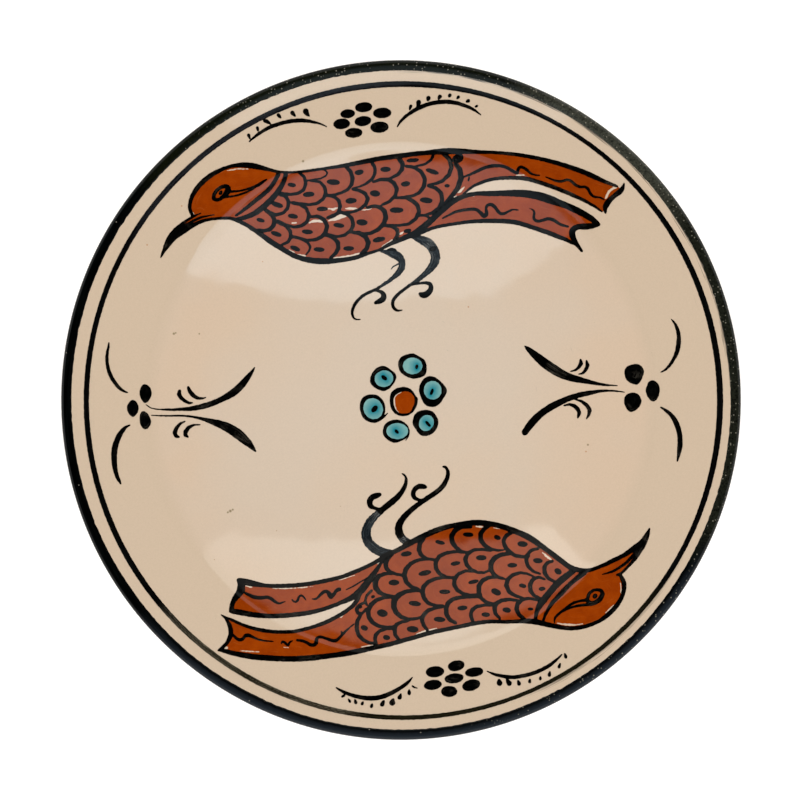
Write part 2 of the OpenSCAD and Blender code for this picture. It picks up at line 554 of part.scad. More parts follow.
module upper_bird_scales() {
  color(black) painted() tidy() difference() {
    strokes(ub_scale_curls, close_steps);
    ub_lines();
    ub_collars();
  }
}

module upper_bird_scale_dots() {
  color(black) painted() tidy() difference() {
    dabs(ub_dots);
    ub_lines();
    strokes(ub_scale_curls, close_steps);
  }
}

module upper_bird_eye() {
  color(black) painted() ub_eye_lines();
}

module upper_bird_tail_veins() {
  color(black) painted() tidy() difference() {
    strokes(ub_veins);
    ub_lines();
    strokes(ub_scale_curls, close_steps);
  }
}

module upper_bird_thighs() {
  color(grey_wash) painted() tidy() difference() {
    strokes(ub_thigh_strokes);
    strokes(ub_toe_strokes);
    ub_lines();
  }
}

module upper_bird_toes() {
  color(black) painted() tidy() difference() {
    strokes(ub_toe_strokes);
    ub_lines();
  }
}

// ---------------------------------------------------------------- lower bird

lb_crown = [
  [80.6, -64.4, 1.2], [81.8, -66.7, 1.6], [82, -69.2, 1.5], [81.3, -72, 1.4],
  [79.8, -74.8, 1.5], [77.8, -77.2, 1.6], [75.3, -79.5, 1.5], [72.5, -81.4, 1.2],
  [69.6, -82.6, 1.3], [66.4, -83.5, 1.4], [63, -83.9, 1.4], [59.6, -83.7, 1.4],
  [56.2, -83.1, 1.6], [53.2, -82.4, 1.8]
];
lb_back = [
  [53.2, -82.4, 1.8], [49.8, -81.6, 1.9], [46.6, -81.3, 1.8], [43.2, -81.4, 1.3],
  [38, -81.6, 1.2], [33, -81.5, 1.3], [27.7, -82.1, 1.4], [22, -83.3, 1.4],
  [16.1, -84.5, 1.4], [11, -85.6, 1.5], [5.5, -87.2, 1.5], [0.7, -88.5, 1.5],
  [-4, -89.8, 1.6], [-9, -90.9, 1.6], [-14.5, -92.1, 1.8], [-20, -93.2, 1.9],
  [-26, -94, 1.8], [-32, -94.7, 2.0], [-38, -95.1, 2.0], [-43.5, -95.1, 1.9],
  [-49, -94.8, 2.0], [-54.5, -94.3, 2.0], [-59, -93.6, 1.8], [-62.6, -92.8, 1.6],
  [-65.3, -92.1, 1.3], [-67.3, -92, 0.4]
];
lb_belly = [
  [75.4, -60.3, 1.4], [72.6, -61.5, 1.2], [69.8, -62.5, 1.3], [67, -62.7, 1.4],
  [64.2, -62.3, 1.8], [61.8, -61.3, 1.8], [59.4, -59.5, 1.8], [56.2, -57.1, 1.8],
  [53, -54.7, 1.8], [50, -52.5, 2.0], [47, -50.6, 2.2], [43.8, -49.1, 2.0],
  [40, -47.6, 2.0], [35.6, -46.2, 1.8], [31.5, -45.5, 1.9], [27.7, -45.3, 2.0],
  [23.8, -45.6, 1.8], [20, -46.2, 1.6], [16.1, -47.1, 1.8], [12.2, -48.5, 2.0],
  [8.4, -50.2, 2.0], [4.5, -52.2, 2.0], [0.7, -54.4, 1.7], [-3.2, -56.4, 1.6],
  [-6.7, -58.2, 1.6]
];
lb_upper_tail_top = [
  [-6.7, -58.2, 1.6], [-10.1, -60.2, 1.3], [-13.8, -62, 1.3], [-17.6, -63.6, 1.4],
  [-21.5, -65.1, 1.3], [-25.4, -66.1, 1.4], [-29.2, -66.9, 1.4], [-33.1, -67.6, 1.4],
  [-37, -68.1, 1.4], [-41.6, -68.4, 1.4], [-46.2, -68.5, 1.4], [-50, -68.3, 1.3],
  [-53.6, -67.7, 1.9], [-57, -67, 2.3], [-59.7, -66.3, 1.6]
];
lb_upper_tail_end = [
  [-60, -66.2, 1.0], [-58.9, -67.4, 2.4], [-58.8, -69.4, 2.9], [-59.6, -71.2, 2.5],
  [-60.9, -72.8, 2.0], [-61.9, -74.6, 1.6], [-62.2, -76.4, 1.7], [-62.4, -77.6, 1.4]
];
lb_upper_tail_under = [
  [-62.6, -77.6, 1.4], [-60.1, -77.9, 2.0], [-57, -78.5, 1.9], [-53.2, -79.1, 1.8],
  [-49.3, -79.4, 1.6], [-45.4, -79.4, 1.6], [-41.6, -79.2, 1.6], [-37.7, -78.8, 1.6],
  [-33.9, -78.3, 1.6], [-30, -77.4, 1.4], [-26.1, -76.2, 1.4], [-22.3, -74.7, 1.4],
  [-18.8, -73.2, 1.9], [-15.8, -71.3, 2.6], [-12.9, -68, 2.5], [-10.5, -64.7, 2.0],
  [-8.3, -61.6, 1.3], [-6.8, -59.2, 0.9]
];
lb_lower_tail_top = [
  [-65.1, -79.7, 0.5], [-62.4, -80.7, 0.9], [-58.6, -82.5, 1.0], [-54.7, -83.8, 1.1],
  [-50.8, -84.7, 1.3], [-47, -85.2, 1.2], [-43.1, -85.3, 1.2], [-39.3, -85.1, 1.2],
  [-35.4, -84.3, 1.2], [-31.5, -83.2, 1.2], [-27.7, -81.8, 1.4], [-24.6, -80.3, 1.3],
  [-21.5, -78.6, 1.4], [-18.8, -76.7, 1.3], [-17, -75, 1.5], [-15.6, -72.6, 1.6]
];
lb_lower_tail_end = [
  [-67.2, -92.1, 0.4], [-65.9, -91.2, 1.2], [-64.4, -89.8, 1.2], [-63.1, -87.8, 1.5],
  [-62.5, -85.4, 1.6], [-62.9, -83.1, 1.5], [-63.9, -81.1, 1.0], [-65.2, -79.5, 0.6],
  [-66.3, -78.9, 0.2]
];
lb_beak = [
  [[91.4, -47.1, 0.4], [90.6, -49.2, 1.5], [89.6, -51.3, 2.3], [88.2, -53.6, 3.0],
    [87.2, -55.2, 2.6]],
  [[88.2, -52.8, 2.2], [85.6, -54.6, 2.0], [83.2, -56.3, 1.6], [80.6, -57.8, 1.5],
    [78, -59, 1.5], [75.4, -60.3, 1.4]],
  [[87.4, -54.6, 1.6], [85.4, -57, 1.1], [83, -59.6, 1.0], [80.6, -61.4, 0.9],
    [77.6, -63.1, 0.8], [73.9, -64.1, 0.3]],
  [[88, -54.6, 2.0], [86.8, -57, 1.5], [85.2, -59.3, 1.2], [83, -61.7, 0.9],
    [81, -63.7, 0.9], [79.3, -64.3, 0.8]]
];
lb_front_collar = [
  [67.4, -63.4, 2.0], [65, -65.3, 1.7], [62.6, -67.3, 1.5], [60.2, -69.7, 1.7],
  [57.8, -72.3, 1.6], [55.8, -74.4, 1.4], [54.2, -76.8, 1.2], [53, -79.1, 1.0],
  [52.3, -81.2, 0.7]
];
lb_rear_collar = [
  [63.4, -62.9, 1.8], [60.4, -65.1, 2.3], [57.8, -67.3, 2.4], [55.8, -69.5, 2.3],
  [53.8, -71.9, 2.3], [51.8, -74.4, 2.4], [50.3, -76.8, 1.8], [49.6, -79.4, 1.2],
  [49.4, -81, 1.2]
];
lb_scale_curls = [
  [[-3.4, -56.8, 1.2], [-4.8, -58.4, 1.6], [-5.7, -60.2, 1.7], [-5.4, -62.1, 1.6],
    [-4, -63.5, 1.3], [-1.6, -64.3, 1.0], [0.7, -64.5, 0.8]],
  [[8.4, -51.2, 1.3], [7, -52.9, 1.6], [6.6, -55.1, 1.7], [7.3, -57.1, 1.5],
    [9.4, -58.5, 1.0], [13, -58.9, 0.6]],
  [[26, -46.9, 0.8], [22.4, -46.9, 1.4], [20, -48.1, 1.7], [18.7, -50.1, 1.9],
    [18.9, -52.4, 1.8], [20.3, -54.5, 1.4], [22.4, -55.8, 0.9], [24.6, -56.2, 0.6]],
  [[33.1, -46, 1.2], [30.8, -47.4, 1.5], [29.4, -49.3, 1.7], [29.4, -51.6, 1.7],
    [30.8, -53.6, 1.5], [33.2, -55, 1.1], [35.8, -55.5, 0.8], [38.1, -55.3, 0.5]],
  [[41.4, -48.6, 1.2], [38.9, -49.9, 1.4], [37.8, -51.8, 1.4], [38.3, -53.9, 1.5],
    [39.7, -55.8, 1.6], [42, -57.3, 1.3], [44.7, -57.8, 1.2], [47.2, -57.6, 0.9]],
  [[50.6, -54.7, 1.0], [48.2, -55.3, 1.1], [46.6, -56.9, 1.3], [46.1, -59.1, 1.4],
    [46.8, -61.3, 1.3], [48.7, -63.1, 1.0], [51.4, -64.1, 0.6]],
  [[55.8, -59.3, 1.0], [53.9, -59.9, 1.2], [52.8, -61.5, 1.5], [52.9, -63.7, 1.5],
    [54.2, -65.6, 1.3], [56.4, -66.8, 0.9]],
  [[23.8, -56.4, 0.7], [20.6, -55.9, 1.0], [16.9, -56.4, 1.2], [14.2, -57.6, 1.4],
    [12.8, -59.7, 1.6], [12.9, -62.1, 1.5], [14.3, -64.1, 1.3], [16.6, -65.3, 1.0],
    [19.3, -65.4, 0.8]],
  [[33.1, -55.6, 0.8], [30, -55.1, 1.0], [26.9, -55.3, 1.1], [24.7, -56.6, 1.4],
    [23.7, -58.6, 1.6], [24.2, -60.8, 1.5], [25.9, -62.6, 1.2], [28.3, -63.6, 1.0],
    [30.8, -63.6, 0.9], [32.8, -62.8, 0.7]],
  [[40, -56.6, 1.3], [37, -57, 1.5], [34.6, -58.2, 1.8], [33.2, -60.1, 1.9],
    [33.1, -62.4, 1.8], [34.1, -64.2, 1.4], [36, -65.3, 1.1], [38.2, -66, 0.7]],
  [[12.6, -59, 0.8], [9.2, -58.7, 0.9], [6.1, -59.1, 1.2], [3.5, -60.4, 1.4],
    [1.8, -62.4, 1.7], [1.2, -64.7, 1.8], [1.9, -67.1, 1.6], [3.8, -68.9, 1.3],
    [6.6, -69.7, 0.9]],
  [[26.9, -63.3, 0.7], [23.8, -63, 1.0], [21.2, -64.1, 1.2], [19.8, -65.9, 1.5],
    [19.6, -68.1, 1.6], [20.8, -70.1, 1.4], [22.9, -71.4, 1.2], [25.6, -71.9, 1.0],
    [28.1, -71.7, 0.8]],
  [[0.3, -64.7, 0.8], [-2.8, -64, 1.0], [-5.6, -64, 1.2], [-8.2, -64.9, 1.6],
    [-9.5, -67, 2.0], [-9.3, -69.3, 2.0], [-7.9, -71, 1.6], [-5.6, -72, 1.2],
    [-2.6, -72.3, 0.8]],
  [[19.2, -65.6, 0.9], [15.7, -65.4, 1.0], [12.6, -65.9, 1.2], [10, -67.1, 1.4],
    [8.3, -68.8, 1.6], [7.9, -70.9, 1.7], [8.5, -73.1, 1.5], [10.1, -74.9, 1.3],
    [12.7, -75.8, 1.1], [15.7, -75.8, 0.8]],
  [[37.7, -65.8, 0.9], [35, -65.2, 1.1], [32.4, -65.4, 1.3], [30.1, -66.5, 1.5],
    [28.7, -68.4, 1.7], [28.7, -70.9, 1.7], [29.5, -73, 1.4], [31.4, -74.5, 1.2],
    [33.9, -75.1, 1.0], [35.9, -74.6, 0.7]],
  [[49, -65.1, 0.6], [46.6, -64, 0.8], [43.8, -63.6, 1.0], [41.1, -64.5, 1.3],
    [39.3, -66.1, 1.6], [38.8, -68.3, 1.7], [39.8, -70.6, 1.5], [41.9, -72, 1.2],
    [44.7, -72.9, 0.9]],
  [[53, -66, 0.7], [50.7, -65.2, 1.0], [48.7, -65.9, 1.4], [47.5, -67.9, 1.6],
    [47.7, -70.3, 1.5], [49.1, -72.1, 1.2], [51.2, -72.9, 0.8]],
  [[7.4, -70.4, 0.9], [4.9, -70.2, 1.2], [1.8, -70.6, 1.4], [-0.8, -71.9, 1.9],
    [-2.5, -73.7, 2.2], [-2.7, -76, 2.0], [-1.8, -78.3, 1.7], [0.1, -79.9, 1.4],
    [2.8, -80.8, 1.2], [5.7, -80.5, 1.0], [8.2, -79.8, 0.8]],
  [[-3.2, -72.6, 1.0], [-6.2, -72.8, 1.2], [-9, -73.7, 1.4], [-11.1, -75.5, 1.6],
    [-12.2, -77.8, 1.7], [-11.8, -80.1, 1.6], [-10.4, -82, 1.5], [-8, -83.3, 1.2],
    [-5, -83.7, 1.0], [-2.4, -83.3, 0.8]],
  [[15.3, -76.2, 0.9], [12.6, -76.6, 1.1], [10, -77.5, 1.4], [8.3, -79.1, 1.5],
    [7.7, -81, 1.5], [8.3, -82.9, 1.3], [9.7, -84.6, 1.0]],
  [[28.5, -72.6, 0.8], [25.4, -72.5, 1.1], [22, -72.7, 1.3], [19.3, -73.3, 1.4],
    [17.4, -74.7, 1.6], [16.6, -76.8, 1.7], [16.8, -79, 1.6], [18, -81, 1.4],
    [20.2, -82.1, 1.1]],
  [[33.9, -75.6, 0.8], [30.8, -75.5, 1.0], [27.8, -76.1, 1.3], [26, -77.5, 1.4],
    [25.7, -79.4, 1.3], [26.4, -81.4, 1.1]],
  [[43, -73.8, 0.9], [39.8, -73.4, 1.2], [37, -73.8, 1.4], [35.1, -74.9, 1.6],
    [34.4, -76.7, 1.6], [34.8, -78.7, 1.3], [36.4, -80.4, 0.9]],
  [[50.4, -73.6, 0.8], [47.4, -73, 1.0], [44.7, -73.4, 1.3], [42.9, -75, 1.6],
    [42.5, -77.1, 1.6], [43.5, -79.1, 1.4], [45.5, -80.7, 1.1]],
  [[-15, -79.4, 1.2], [-16.1, -81.4, 1.4], [-16.3, -84.1, 1.5], [-15.7, -86.4, 1.4],
    [-14, -88.2, 1.3], [-11.8, -89.3, 1.1], [-9.4, -89.6, 0.9]],
  [[-2.4, -84.2, 0.8], [-5.1, -84.2, 0.9], [-7.7, -84.9, 1.2], [-9.3, -86.4, 1.4],
    [-9.6, -88.3, 1.3], [-9, -89.8, 1.0]],
  [[2.6, -81.4, 0.8], [0.2, -81.7, 1.1], [-1.7, -82.7, 1.4], [-2.4, -84.6, 1.5],
    [-2.1, -86.5, 1.3], [-0.9, -88, 1.0]],
  [[-10.8, -70.2, 0.9], [-12.6, -72, 0.9], [-13.2, -74, 0.9], [-12.5, -75.6, 0.8]],
  [[-13.2, -74.6, 0.8], [-15.5, -75.6, 1.0], [-16.4, -77.1, 1.4], [-15.9, -78.5, 1.4],
    [-14.2, -78.6, 1.0], [-12.8, -76.8, 0.8]]
];
lb_dots = [
  [1.9, -56.8, 2.1, 0.9, 8], [-2.6, -67.3, 2.0, 1.0, 2], [14.4, -52.6, 1.9, 0.7, -14],
  [24.8, -49.7, 2.0, 0.8, -2], [35.5, -50.7, 1.3, 0.8, -20], [44.8, -53.1, 1.9, 1.0, -4],
  [50.4, -59.2, 1.8, 0.9, -4], [57.8, -63.1, 1.4, 1.0, -30], [20.1, -60.3, 1.9, 0.7, 10],
  [29.6, -58.2, 2.0, 0.9, 0], [41, -60.9, 1.8, 0.8, 0], [8.8, -63.8, 2.4, 0.9, 12],
  [26.7, -67, 2.0, 0.7, 12], [44.8, -68.4, 1.4, 0.7, -14], [51.9, -69.5, 1.3, 0.7, 6],
  [16.1, -70.7, 2.1, 0.8, -2], [35, -70.7, 1.9, 1.1, -24], [5.1, -75, 2.3, 0.9, -6],
  [-6.9, -78.5, 2.0, 1.3, -12], [22.6, -76.6, 1.9, 0.8, 6], [38.9, -77.3, 1.6, 0.9, -10],
  [47.6, -76.9, 1.1, 0.5, -4], [14.2, -80.8, 2.2, 0.9, -4], [31.2, -79, 1.6, 0.8, -2],
  [4.3, -84.4, 2.2, 1.1, -4], [-5.3, -87.4, 1.3, 0.9, -10], [-13.5, -83.9, 1.4, 0.9, -20],
  [-10.3, -72.5, 0.8, 0.5, 20], [-15, -76.3, 0.8, 0.5, 10]
];
lb_eye_ring = [
  [68.5, -73.2, 1.2], [69.2, -71.2, 1.1], [70.9, -69.9, 1.0], [73, -69.9, 1.2],
  [74.1, -70.8, 1.4], [73.4, -72.8, 1.8], [71.8, -74.2, 1.6], [70.2, -74.7, 1.5],
  [68.8, -74.2, 1.4], [68.5, -73.2, 1.2]
];
lb_eye_trails = [
  [[68.2, -73.5, 1.2], [65.8, -73.9, 0.8], [63.4, -74.6, 0.9], [61.4, -75.9, 0.8],
    [59.4, -77.5, 0.8], [57.4, -79.2, 0.8], [56.4, -80.6, 0.6], [56.5, -82, 0.3]],
  [[69.8, -75.1, 1.2], [66.6, -75.4, 0.9], [63.8, -75.9, 0.8], [61.4, -76.7, 0.7],
    [59.8, -77.6, 0.5]]
];
lb_veins = [
  [[-57.4, -70.9, 0.8], [-55.1, -72.1, 1.2], [-53.2, -72.7, 1.3], [-50.8, -72.7, 1.2],
    [-48.9, -72.6, 1.1], [-47.4, -73.4, 1.1], [-46.1, -74.4, 0.9], [-44.7, -74.9, 0.6],
    [-43.5, -74.4, 0.4], [-42.4, -74.2, 0.2]],
  [[-40.2, -73.4, 0.4], [-39.3, -74.3, 0.5], [-38.2, -74.1, 0.7], [-37.7, -72.7, 0.8],
    [-36.8, -71.9, 0.6], [-35.8, -72.6, 0.5], [-34.9, -73.8, 0.3]],
  [[-32.9, -73.2, 0.3], [-31.3, -73.3, 0.6], [-30, -72.1, 0.9], [-28.7, -70.8, 1.1],
    [-27.3, -70.5, 1.1], [-26.4, -71.5, 1.6], [-25.8, -72.5, 1.8], [-24.7, -71.5, 1.1],
    [-23.8, -70.2, 1.2], [-22.7, -69.8, 1.4]],
  [[-20.3, -70, 0.3], [-17.3, -68.5, 0.4], [-14.5, -66.8, 0.4], [-12.2, -65.5, 0.3]],
  [[-61.9, -86, 0.6], [-60.5, -87.6, 1.0], [-59, -88.2, 1.2], [-57.7, -87.4, 1.0],
    [-57.4, -86.6, 1.1], [-56.1, -86.5, 1.3], [-54.7, -87, 0.9], [-52.8, -87.9, 0.7],
    [-50.1, -88.5, 0.6], [-46.8, -88.8, 0.2]],
  [[-44, -89.7, 0.4], [-43.6, -88.7, 0.7], [-42.4, -89.5, 0.9], [-41.4, -90.2, 0.8],
    [-41, -89, 0.7], [-39.7, -88.5, 0.3]],
  [[-38.3, -88.3, 0.8], [-36.6, -88.5, 0.9], [-35, -89, 1.0], [-33.5, -89.9, 1.1],
    [-31.9, -90.1, 1.2], [-31.1, -89, 1.4], [-31, -87.8, 1.1], [-30, -87.1, 1.0],
    [-28.4, -87.4, 0.9], [-26.5, -88.1, 1.0], [-24.2, -88.6, 1.2], [-22.6, -87.4, 0.9],
    [-21.2, -85.9, 0.9], [-19.2, -84, 0.5], [-17.2, -82.4, 0.4]],
  [[-22.1, -84.8, 0.2], [-21.6, -86, 0.7]]
];
lb_thigh_strokes = [
  [[-3.6, -56.5, 2.6], [-6.5, -56.3, 3.4], [-9.6, -54.9, 3.6], [-12, -52.5, 3.5],
    [-12.9, -49.8, 3.6], [-12.5, -47, 3.3], [-10.9, -44.3, 3.0], [-8.7, -42.1, 2.5],
    [-7, -40.7, 2.2]],
  [[3.2, -52.9, 2.4], [1, -51.6, 3.0], [-0.5, -49.6, 2.9]]
];
lb_toe_strokes = [
  [[-7.4, -40.9, 2.0], [-4.4, -38.5, 2.2], [-1.4, -36, 2.0], [0.5, -33.6, 1.6],
    [1.7, -31.2, 1.3], [1.9, -29.2, 0.9], [1.3, -27.8, 0.6], [0.2, -27.1, 0.2]],
  [[-7.6, -40.4, 0.9], [-9.6, -40, 1.1], [-11.2, -39.2, 1.8], [-11.6, -37.4, 2.0],
    [-10.6, -35.9, 2.0], [-9, -35.3, 2.0], [-7.8, -35, 1.3]],
  [[-0.6, -49.4, 2.8], [-0.9, -47.2, 2.7], [-0.1, -44.9, 2.3], [1.6, -42.7, 2.0],
    [3.9, -40.5, 1.8], [6.9, -38.2, 1.7], [10, -36.1, 1.7], [13, -34.1, 1.7],
    [15.3, -32, 1.7], [16.8, -29.5, 1.5], [17.4, -27.2, 1.3], [17, -25.5, 1.0],
    [16.1, -24.6, 0.8], [15.4, -24.8, 0.5]],
  [[7.4, -37, 0.8], [5.9, -36.7, 1.2], [4.8, -35.8, 1.5], [4.5, -34.4, 1.6],
    [5.3, -32.8, 1.7], [6.8, -31.9, 1.8], [8.2, -32, 1.8], [9.3, -32.3, 0.9]]
];
lb_bare_streaks = [
  [[-48, -69.3, 0.2], [-43, -69.4, 0.5], [-36, -69, 0.5], [-31, -68.3, 0.2]],
  [[-27, -67.1, 0.2], [-22, -66.1, 0.4], [-17, -64.6, 0.2]],
  [[-57.4, -68.2, 0.2], [-55.6, -68.7, 0.7], [-54.4, -68.9, 0.2]],
  [[-59.4, -92.1, 0.2], [-57, -92.3, 0.5], [-52, -92.6, 0.2]],
  [[-64.8, -91.2, 0.8], [-64, -91.1, 1.1]],
  [[-43.4, -90.9, 0.1], [-42, -91, 0.3], [-40.8, -91.1, 0.1]],
  [[-15.4, -91, 0.2], [-12, -90.4, 0.5], [-9.4, -90.2, 0.3]],
  [[-9, -60.5, 0.3], [-8, -60.2, 0.8]],
  [[5.4, -86.2, 0.3], [9, -85, 0.7], [13.4, -84, 0.3]],
  [[27.6, -46.7, 0.4], [30, -46.8, 0.7]],
  [[34, -47.1, 0.2], [37, -47.6, 0.4]],
  [[52, -56.1, 0.3], [54.4, -58.2, 0.9], [56, -59.2, 0.3]],
  [[57.2, -82, 0.3], [60.5, -82.5, 0.8], [64, -82.7, 0.5], [67, -82.2, 0.2]],
  [[79, -74.6, 0.2], [77, -76.6, 0.6], [75, -78.4, 0.2]],
  [[80.6, -67, 0.2], [80.9, -69.5, 0.4], [80.6, -71.4, 0.2]],
  [[-25, -80.8, 0.2], [-22, -79.9, 0.5], [-20, -78.4, 0.2]]
];

// closed outline of the whole bird along the middle of its outline strokes
lb_edge = concat(
  flat(lb_crown),
  flat(lb_back),
  [[-65.2, -91], [-63.1, -87.8], [-62.5, -85.4], [-63.3, -82.3]],
  flat(lb_lower_tail_top),
  [[-18.8, -73.2], [-22.3, -74.7], [-30, -77.4], [-37.7, -78.8], [-45.4, -79.4]],
  [[-53.2, -79.1], [-61.5, -77.7]],
  back_to_front(flat(lb_upper_tail_end)),
  back_to_front(flat(lb_upper_tail_top)),
  back_to_front(flat(lb_belly)),
  [[80.6, -57.8], [87, -53.6], [87.6, -55], [85.2, -59.3], [81, -63.7]]
);

// part of the drawing in front of the rear collar
module lb_head_side() {
  polygon(concat(flat(lb_rear_collar), [[49, -95], [98, -95], [98, -40], [63, -58]]));
}

// part of the drawing behind the last scale
module lb_tail_side() {
  polygon([
    [-6.8, -50], [-6.8, -59], [-10.5, -64.7], [-12.9, -68], [-15.6, -71.6],
    [-16.6, -77], [-15.2, -79.2], [-16.3, -84.1], [-15.7, -86.4], [-14, -88.2],
    [-10, -90.4], [-10, -100], [-75, -100], [-75, -50]
  ]);
}

module lb_lines() {
  strokes([
    lb_crown, lb_back, lb_belly, lb_upper_tail_top, lb_upper_tail_end,
    lb_upper_tail_under, lb_lower_tail_top, lb_lower_tail_end
  ]);
  strokes(lb_beak);
}

module lb_collars() {
  brush(lb_front_collar);
  brush(lb_rear_collar);
}

module lb_eye_lines() {
  brush(lb_eye_ring);
  strokes(lb_eye_trails);
  dab([71.3, -72.1, 1.0, 0.8, 40]);
}

// everything the colour brush has to stay clear of
module lb_keep_out() {
  lb_lines();
  lb_collars();
  strokes(lb_scale_curls, close_steps);
  dabs(lb_dots);
  lb_eye_lines();
  strokes(lb_veins);
  strokes(lb_bare_streaks, close_steps);
}

module lower_bird_body_fill() {
  color(rust) painted() tidy() difference() {
    polygon(lb_edge);
    lb_head_side();
    lb_tail_side();
    lb_keep_out();
  }
}

module lower_bird_head_fill() {
  color(rust) painted() tidy() difference() {
    intersection() {
      polygon(lb_edge);
      lb_head_side();
    }
    lb_keep_out();
  }
}

module lower_bird_tail_fill() {
  color(rust) painted() tidy() difference() {
    intersection() {
      polygon(lb_edge);
      lb_tail_side();
    }
    lb_keep_out();
  }
}

module lower_bird_outline() {
  color(black) painted() lb_lines();
}

module lower_bird_collar() {
  color(black) painted() tidy() difference() {
    lb_collars();
    lb_lines();
  }
}

module lower_bird_scales() {
  color(black) painted() tidy() difference() {
    strokes(lb_scale_curls, close_steps);
    lb_lines();
    lb_collars();
  }
}

module lower_bird_scale_dots() {
  color(black) painted() tidy() difference() {
    dabs(lb_dots);
    lb_lines();
    strokes(lb_scale_curls, close_steps);
  }
}

module lower_bird_eye() {
  color(black) painted() lb_eye_lines();
}

module lower_bird_tail_veins() {
  color(black) painted() tidy() difference() {
    strokes(lb_veins);
    lb_lines();
    strokes(lb_scale_curls, close_steps);
  }
}

module lower_bird_thighs() {
  color(grey_wash) painted() tidy() difference() {
    strokes(lb_thigh_strokes);
    strokes(lb_toe_strokes);
    lb_lines();
  }
}

module lower_bird_toes() {
  color(black) painted() tidy() difference() {
    strokes(lb_toe_strokes);
    lb_lines();
  }
}

// ---------------------------------------------------------------- flower

heart_pool = [
  [-2.2, 0.9], [-1, 2.2], [1.4, 3.1], [3.6, 2.5], [4.9, 0.8], [4.9, -1.2], [4.1, -2.9],
  [3.2, -4.5], [0.9, -5], [-0.9, -4.4], [-1.9, -2.8], [-2.2, -1]
];
heart_ring_out = [
  [-4, 1.4], [-3.2, 3.1], [-1.4, 4.4], [1.5, 4.8], [3.7, 3.9], [5.1, 2], [6.2, 0.3],
  [5.7, -2.2], [4.3, -4.5], [2, -5.8], [-0.7, -5.7], [-2.8, -4.4], [-4, -1.6]
];
heart_ring_in = [
  [-2.6, 1.1], [-1.2, 2.5], [1.4, 3.3], [3.7, 2.7], [5, 0.9], [5, -1.3], [4.3, -2.9],
  [3.3, -4.6], [0.9, -5.1], [-1.1, -4.6], [-2.4, -2.8], [-2.8, -0.8]
];
// colour pool of each petal as [x, y, half length, half width, tilt]
petal_pools = [
  [4.3, 12.6, 3.8, 3.2, 0], [11.7, 3.6, 3.6, 3.4, 100], [9.4, -8.5, 3.2, 2.8, 60],
  [-1.4, -11.5, 4.2, 3.1, 0], [-10.3, -3.2, 4.1, 3.7, 115], [-6.3, 7.9, 3.6, 3.2, 10]
];
// outer edge of the black ring round each petal
petal_ring_edges = [
  [[-1, 13], [-0.5, 15.2], [1.3, 16.5], [4.4, 17.2], [6.8, 16], [8.8, 14.6], [9.4, 12.4],
    [9.1, 9.6], [7.4, 8.5], [4.6, 7.9], [1.8, 8.9], [-0.2, 10.4]],
  [[6.7, 3.4], [7.4, 6.4], [9, 8.2], [11.2, 8.8], [13.2, 8], [15.4, 6], [17, 3.6],
    [16.1, 1.4], [14.6, -1], [12.6, -2.4], [10, -2.3], [8.2, -0.7]],
  [[4.3, -8.6], [4.9, -5.8], [6.6, -4.2], [9.4, -3.7], [11.8, -4.4], [13.2, -6.4],
    [13.8, -8.2], [12.9, -11], [11, -12.7], [8.6, -13.3], [6.9, -12.7], [5.4, -10.6]],
  [[-6.7, -11.7], [-6, -9.2], [-4.2, -7.8], [-1.8, -7.3], [0.8, -8], [2.7, -9.9],
    [3.2, -12], [2.1, -13.9], [0, -15.1], [-2.6, -15.8], [-4.9, -14.7], [-6.3, -13.2]],
  [[-15.2, -2.6], [-14.6, 0.2], [-13, 1.6], [-10.7, 2], [-8.8, 1.7], [-7, 0.2],
    [-6, -1.8], [-5.9, -4.4], [-6.6, -6.4], [-8.4, -8], [-10.2, -8.4], [-12.6, -7.7],
    [-14.4, -5.9]],
  [[-11.4, 7.3], [-10.7, 9.7], [-9, 11.8], [-6.3, 12.6], [-3.9, 11.2], [-2.2, 9.8],
    [-1.8, 8.1], [-2.9, 5.8], [-4.9, 3.9], [-6.9, 3.4], [-9.2, 4.3], [-10.8, 5.6]]
];
petal_pips = [
  [5.8, 12.3, 0.95, 0.5, 85], [11.4, 3, 1.35, 0.5, 72], [10, -8.8, 1.5, 0.5, -48],
  [-1.6, -11.7, 1.1, 0.5, -50], [-9.8, -3.3, 1.5, 0.9, 50], [-6.2, 8.2, 1.3, 0.7, -38]
];
petal_flicks = [
  [[2.9, -12.6, 0.5], [2.3, -14.1, 0.3], [1.6, -15.1, 0.1]],
  [[-8, -7.4, 0.8], [-6.3, -6.2, 0.6], [-4.9, -4.8, 0.3]]
];

module flower_heart() {
  color(rust) painted() pool(heart_pool);
}

module flower_heart_ring() {
  color(black) painted() difference() {
    pool(heart_ring_out);
    pool(heart_ring_in);
  }
}

module flower_petals() {
  color(turquoise) painted() difference() {
    dabs(petal_pools);
    dabs(petal_pips);
  }
}

module flower_petal_rings() {
  color(black) painted() difference() {
    union() {
      for (edge = petal_ring_edges) pool(edge);
      strokes(petal_flicks);
    }
    dabs(petal_pools);
  }
}

module flower_petal_pips() {
  color(black) painted() dabs(petal_pips);
}

// ---------------------------------------------------------------- side sprays

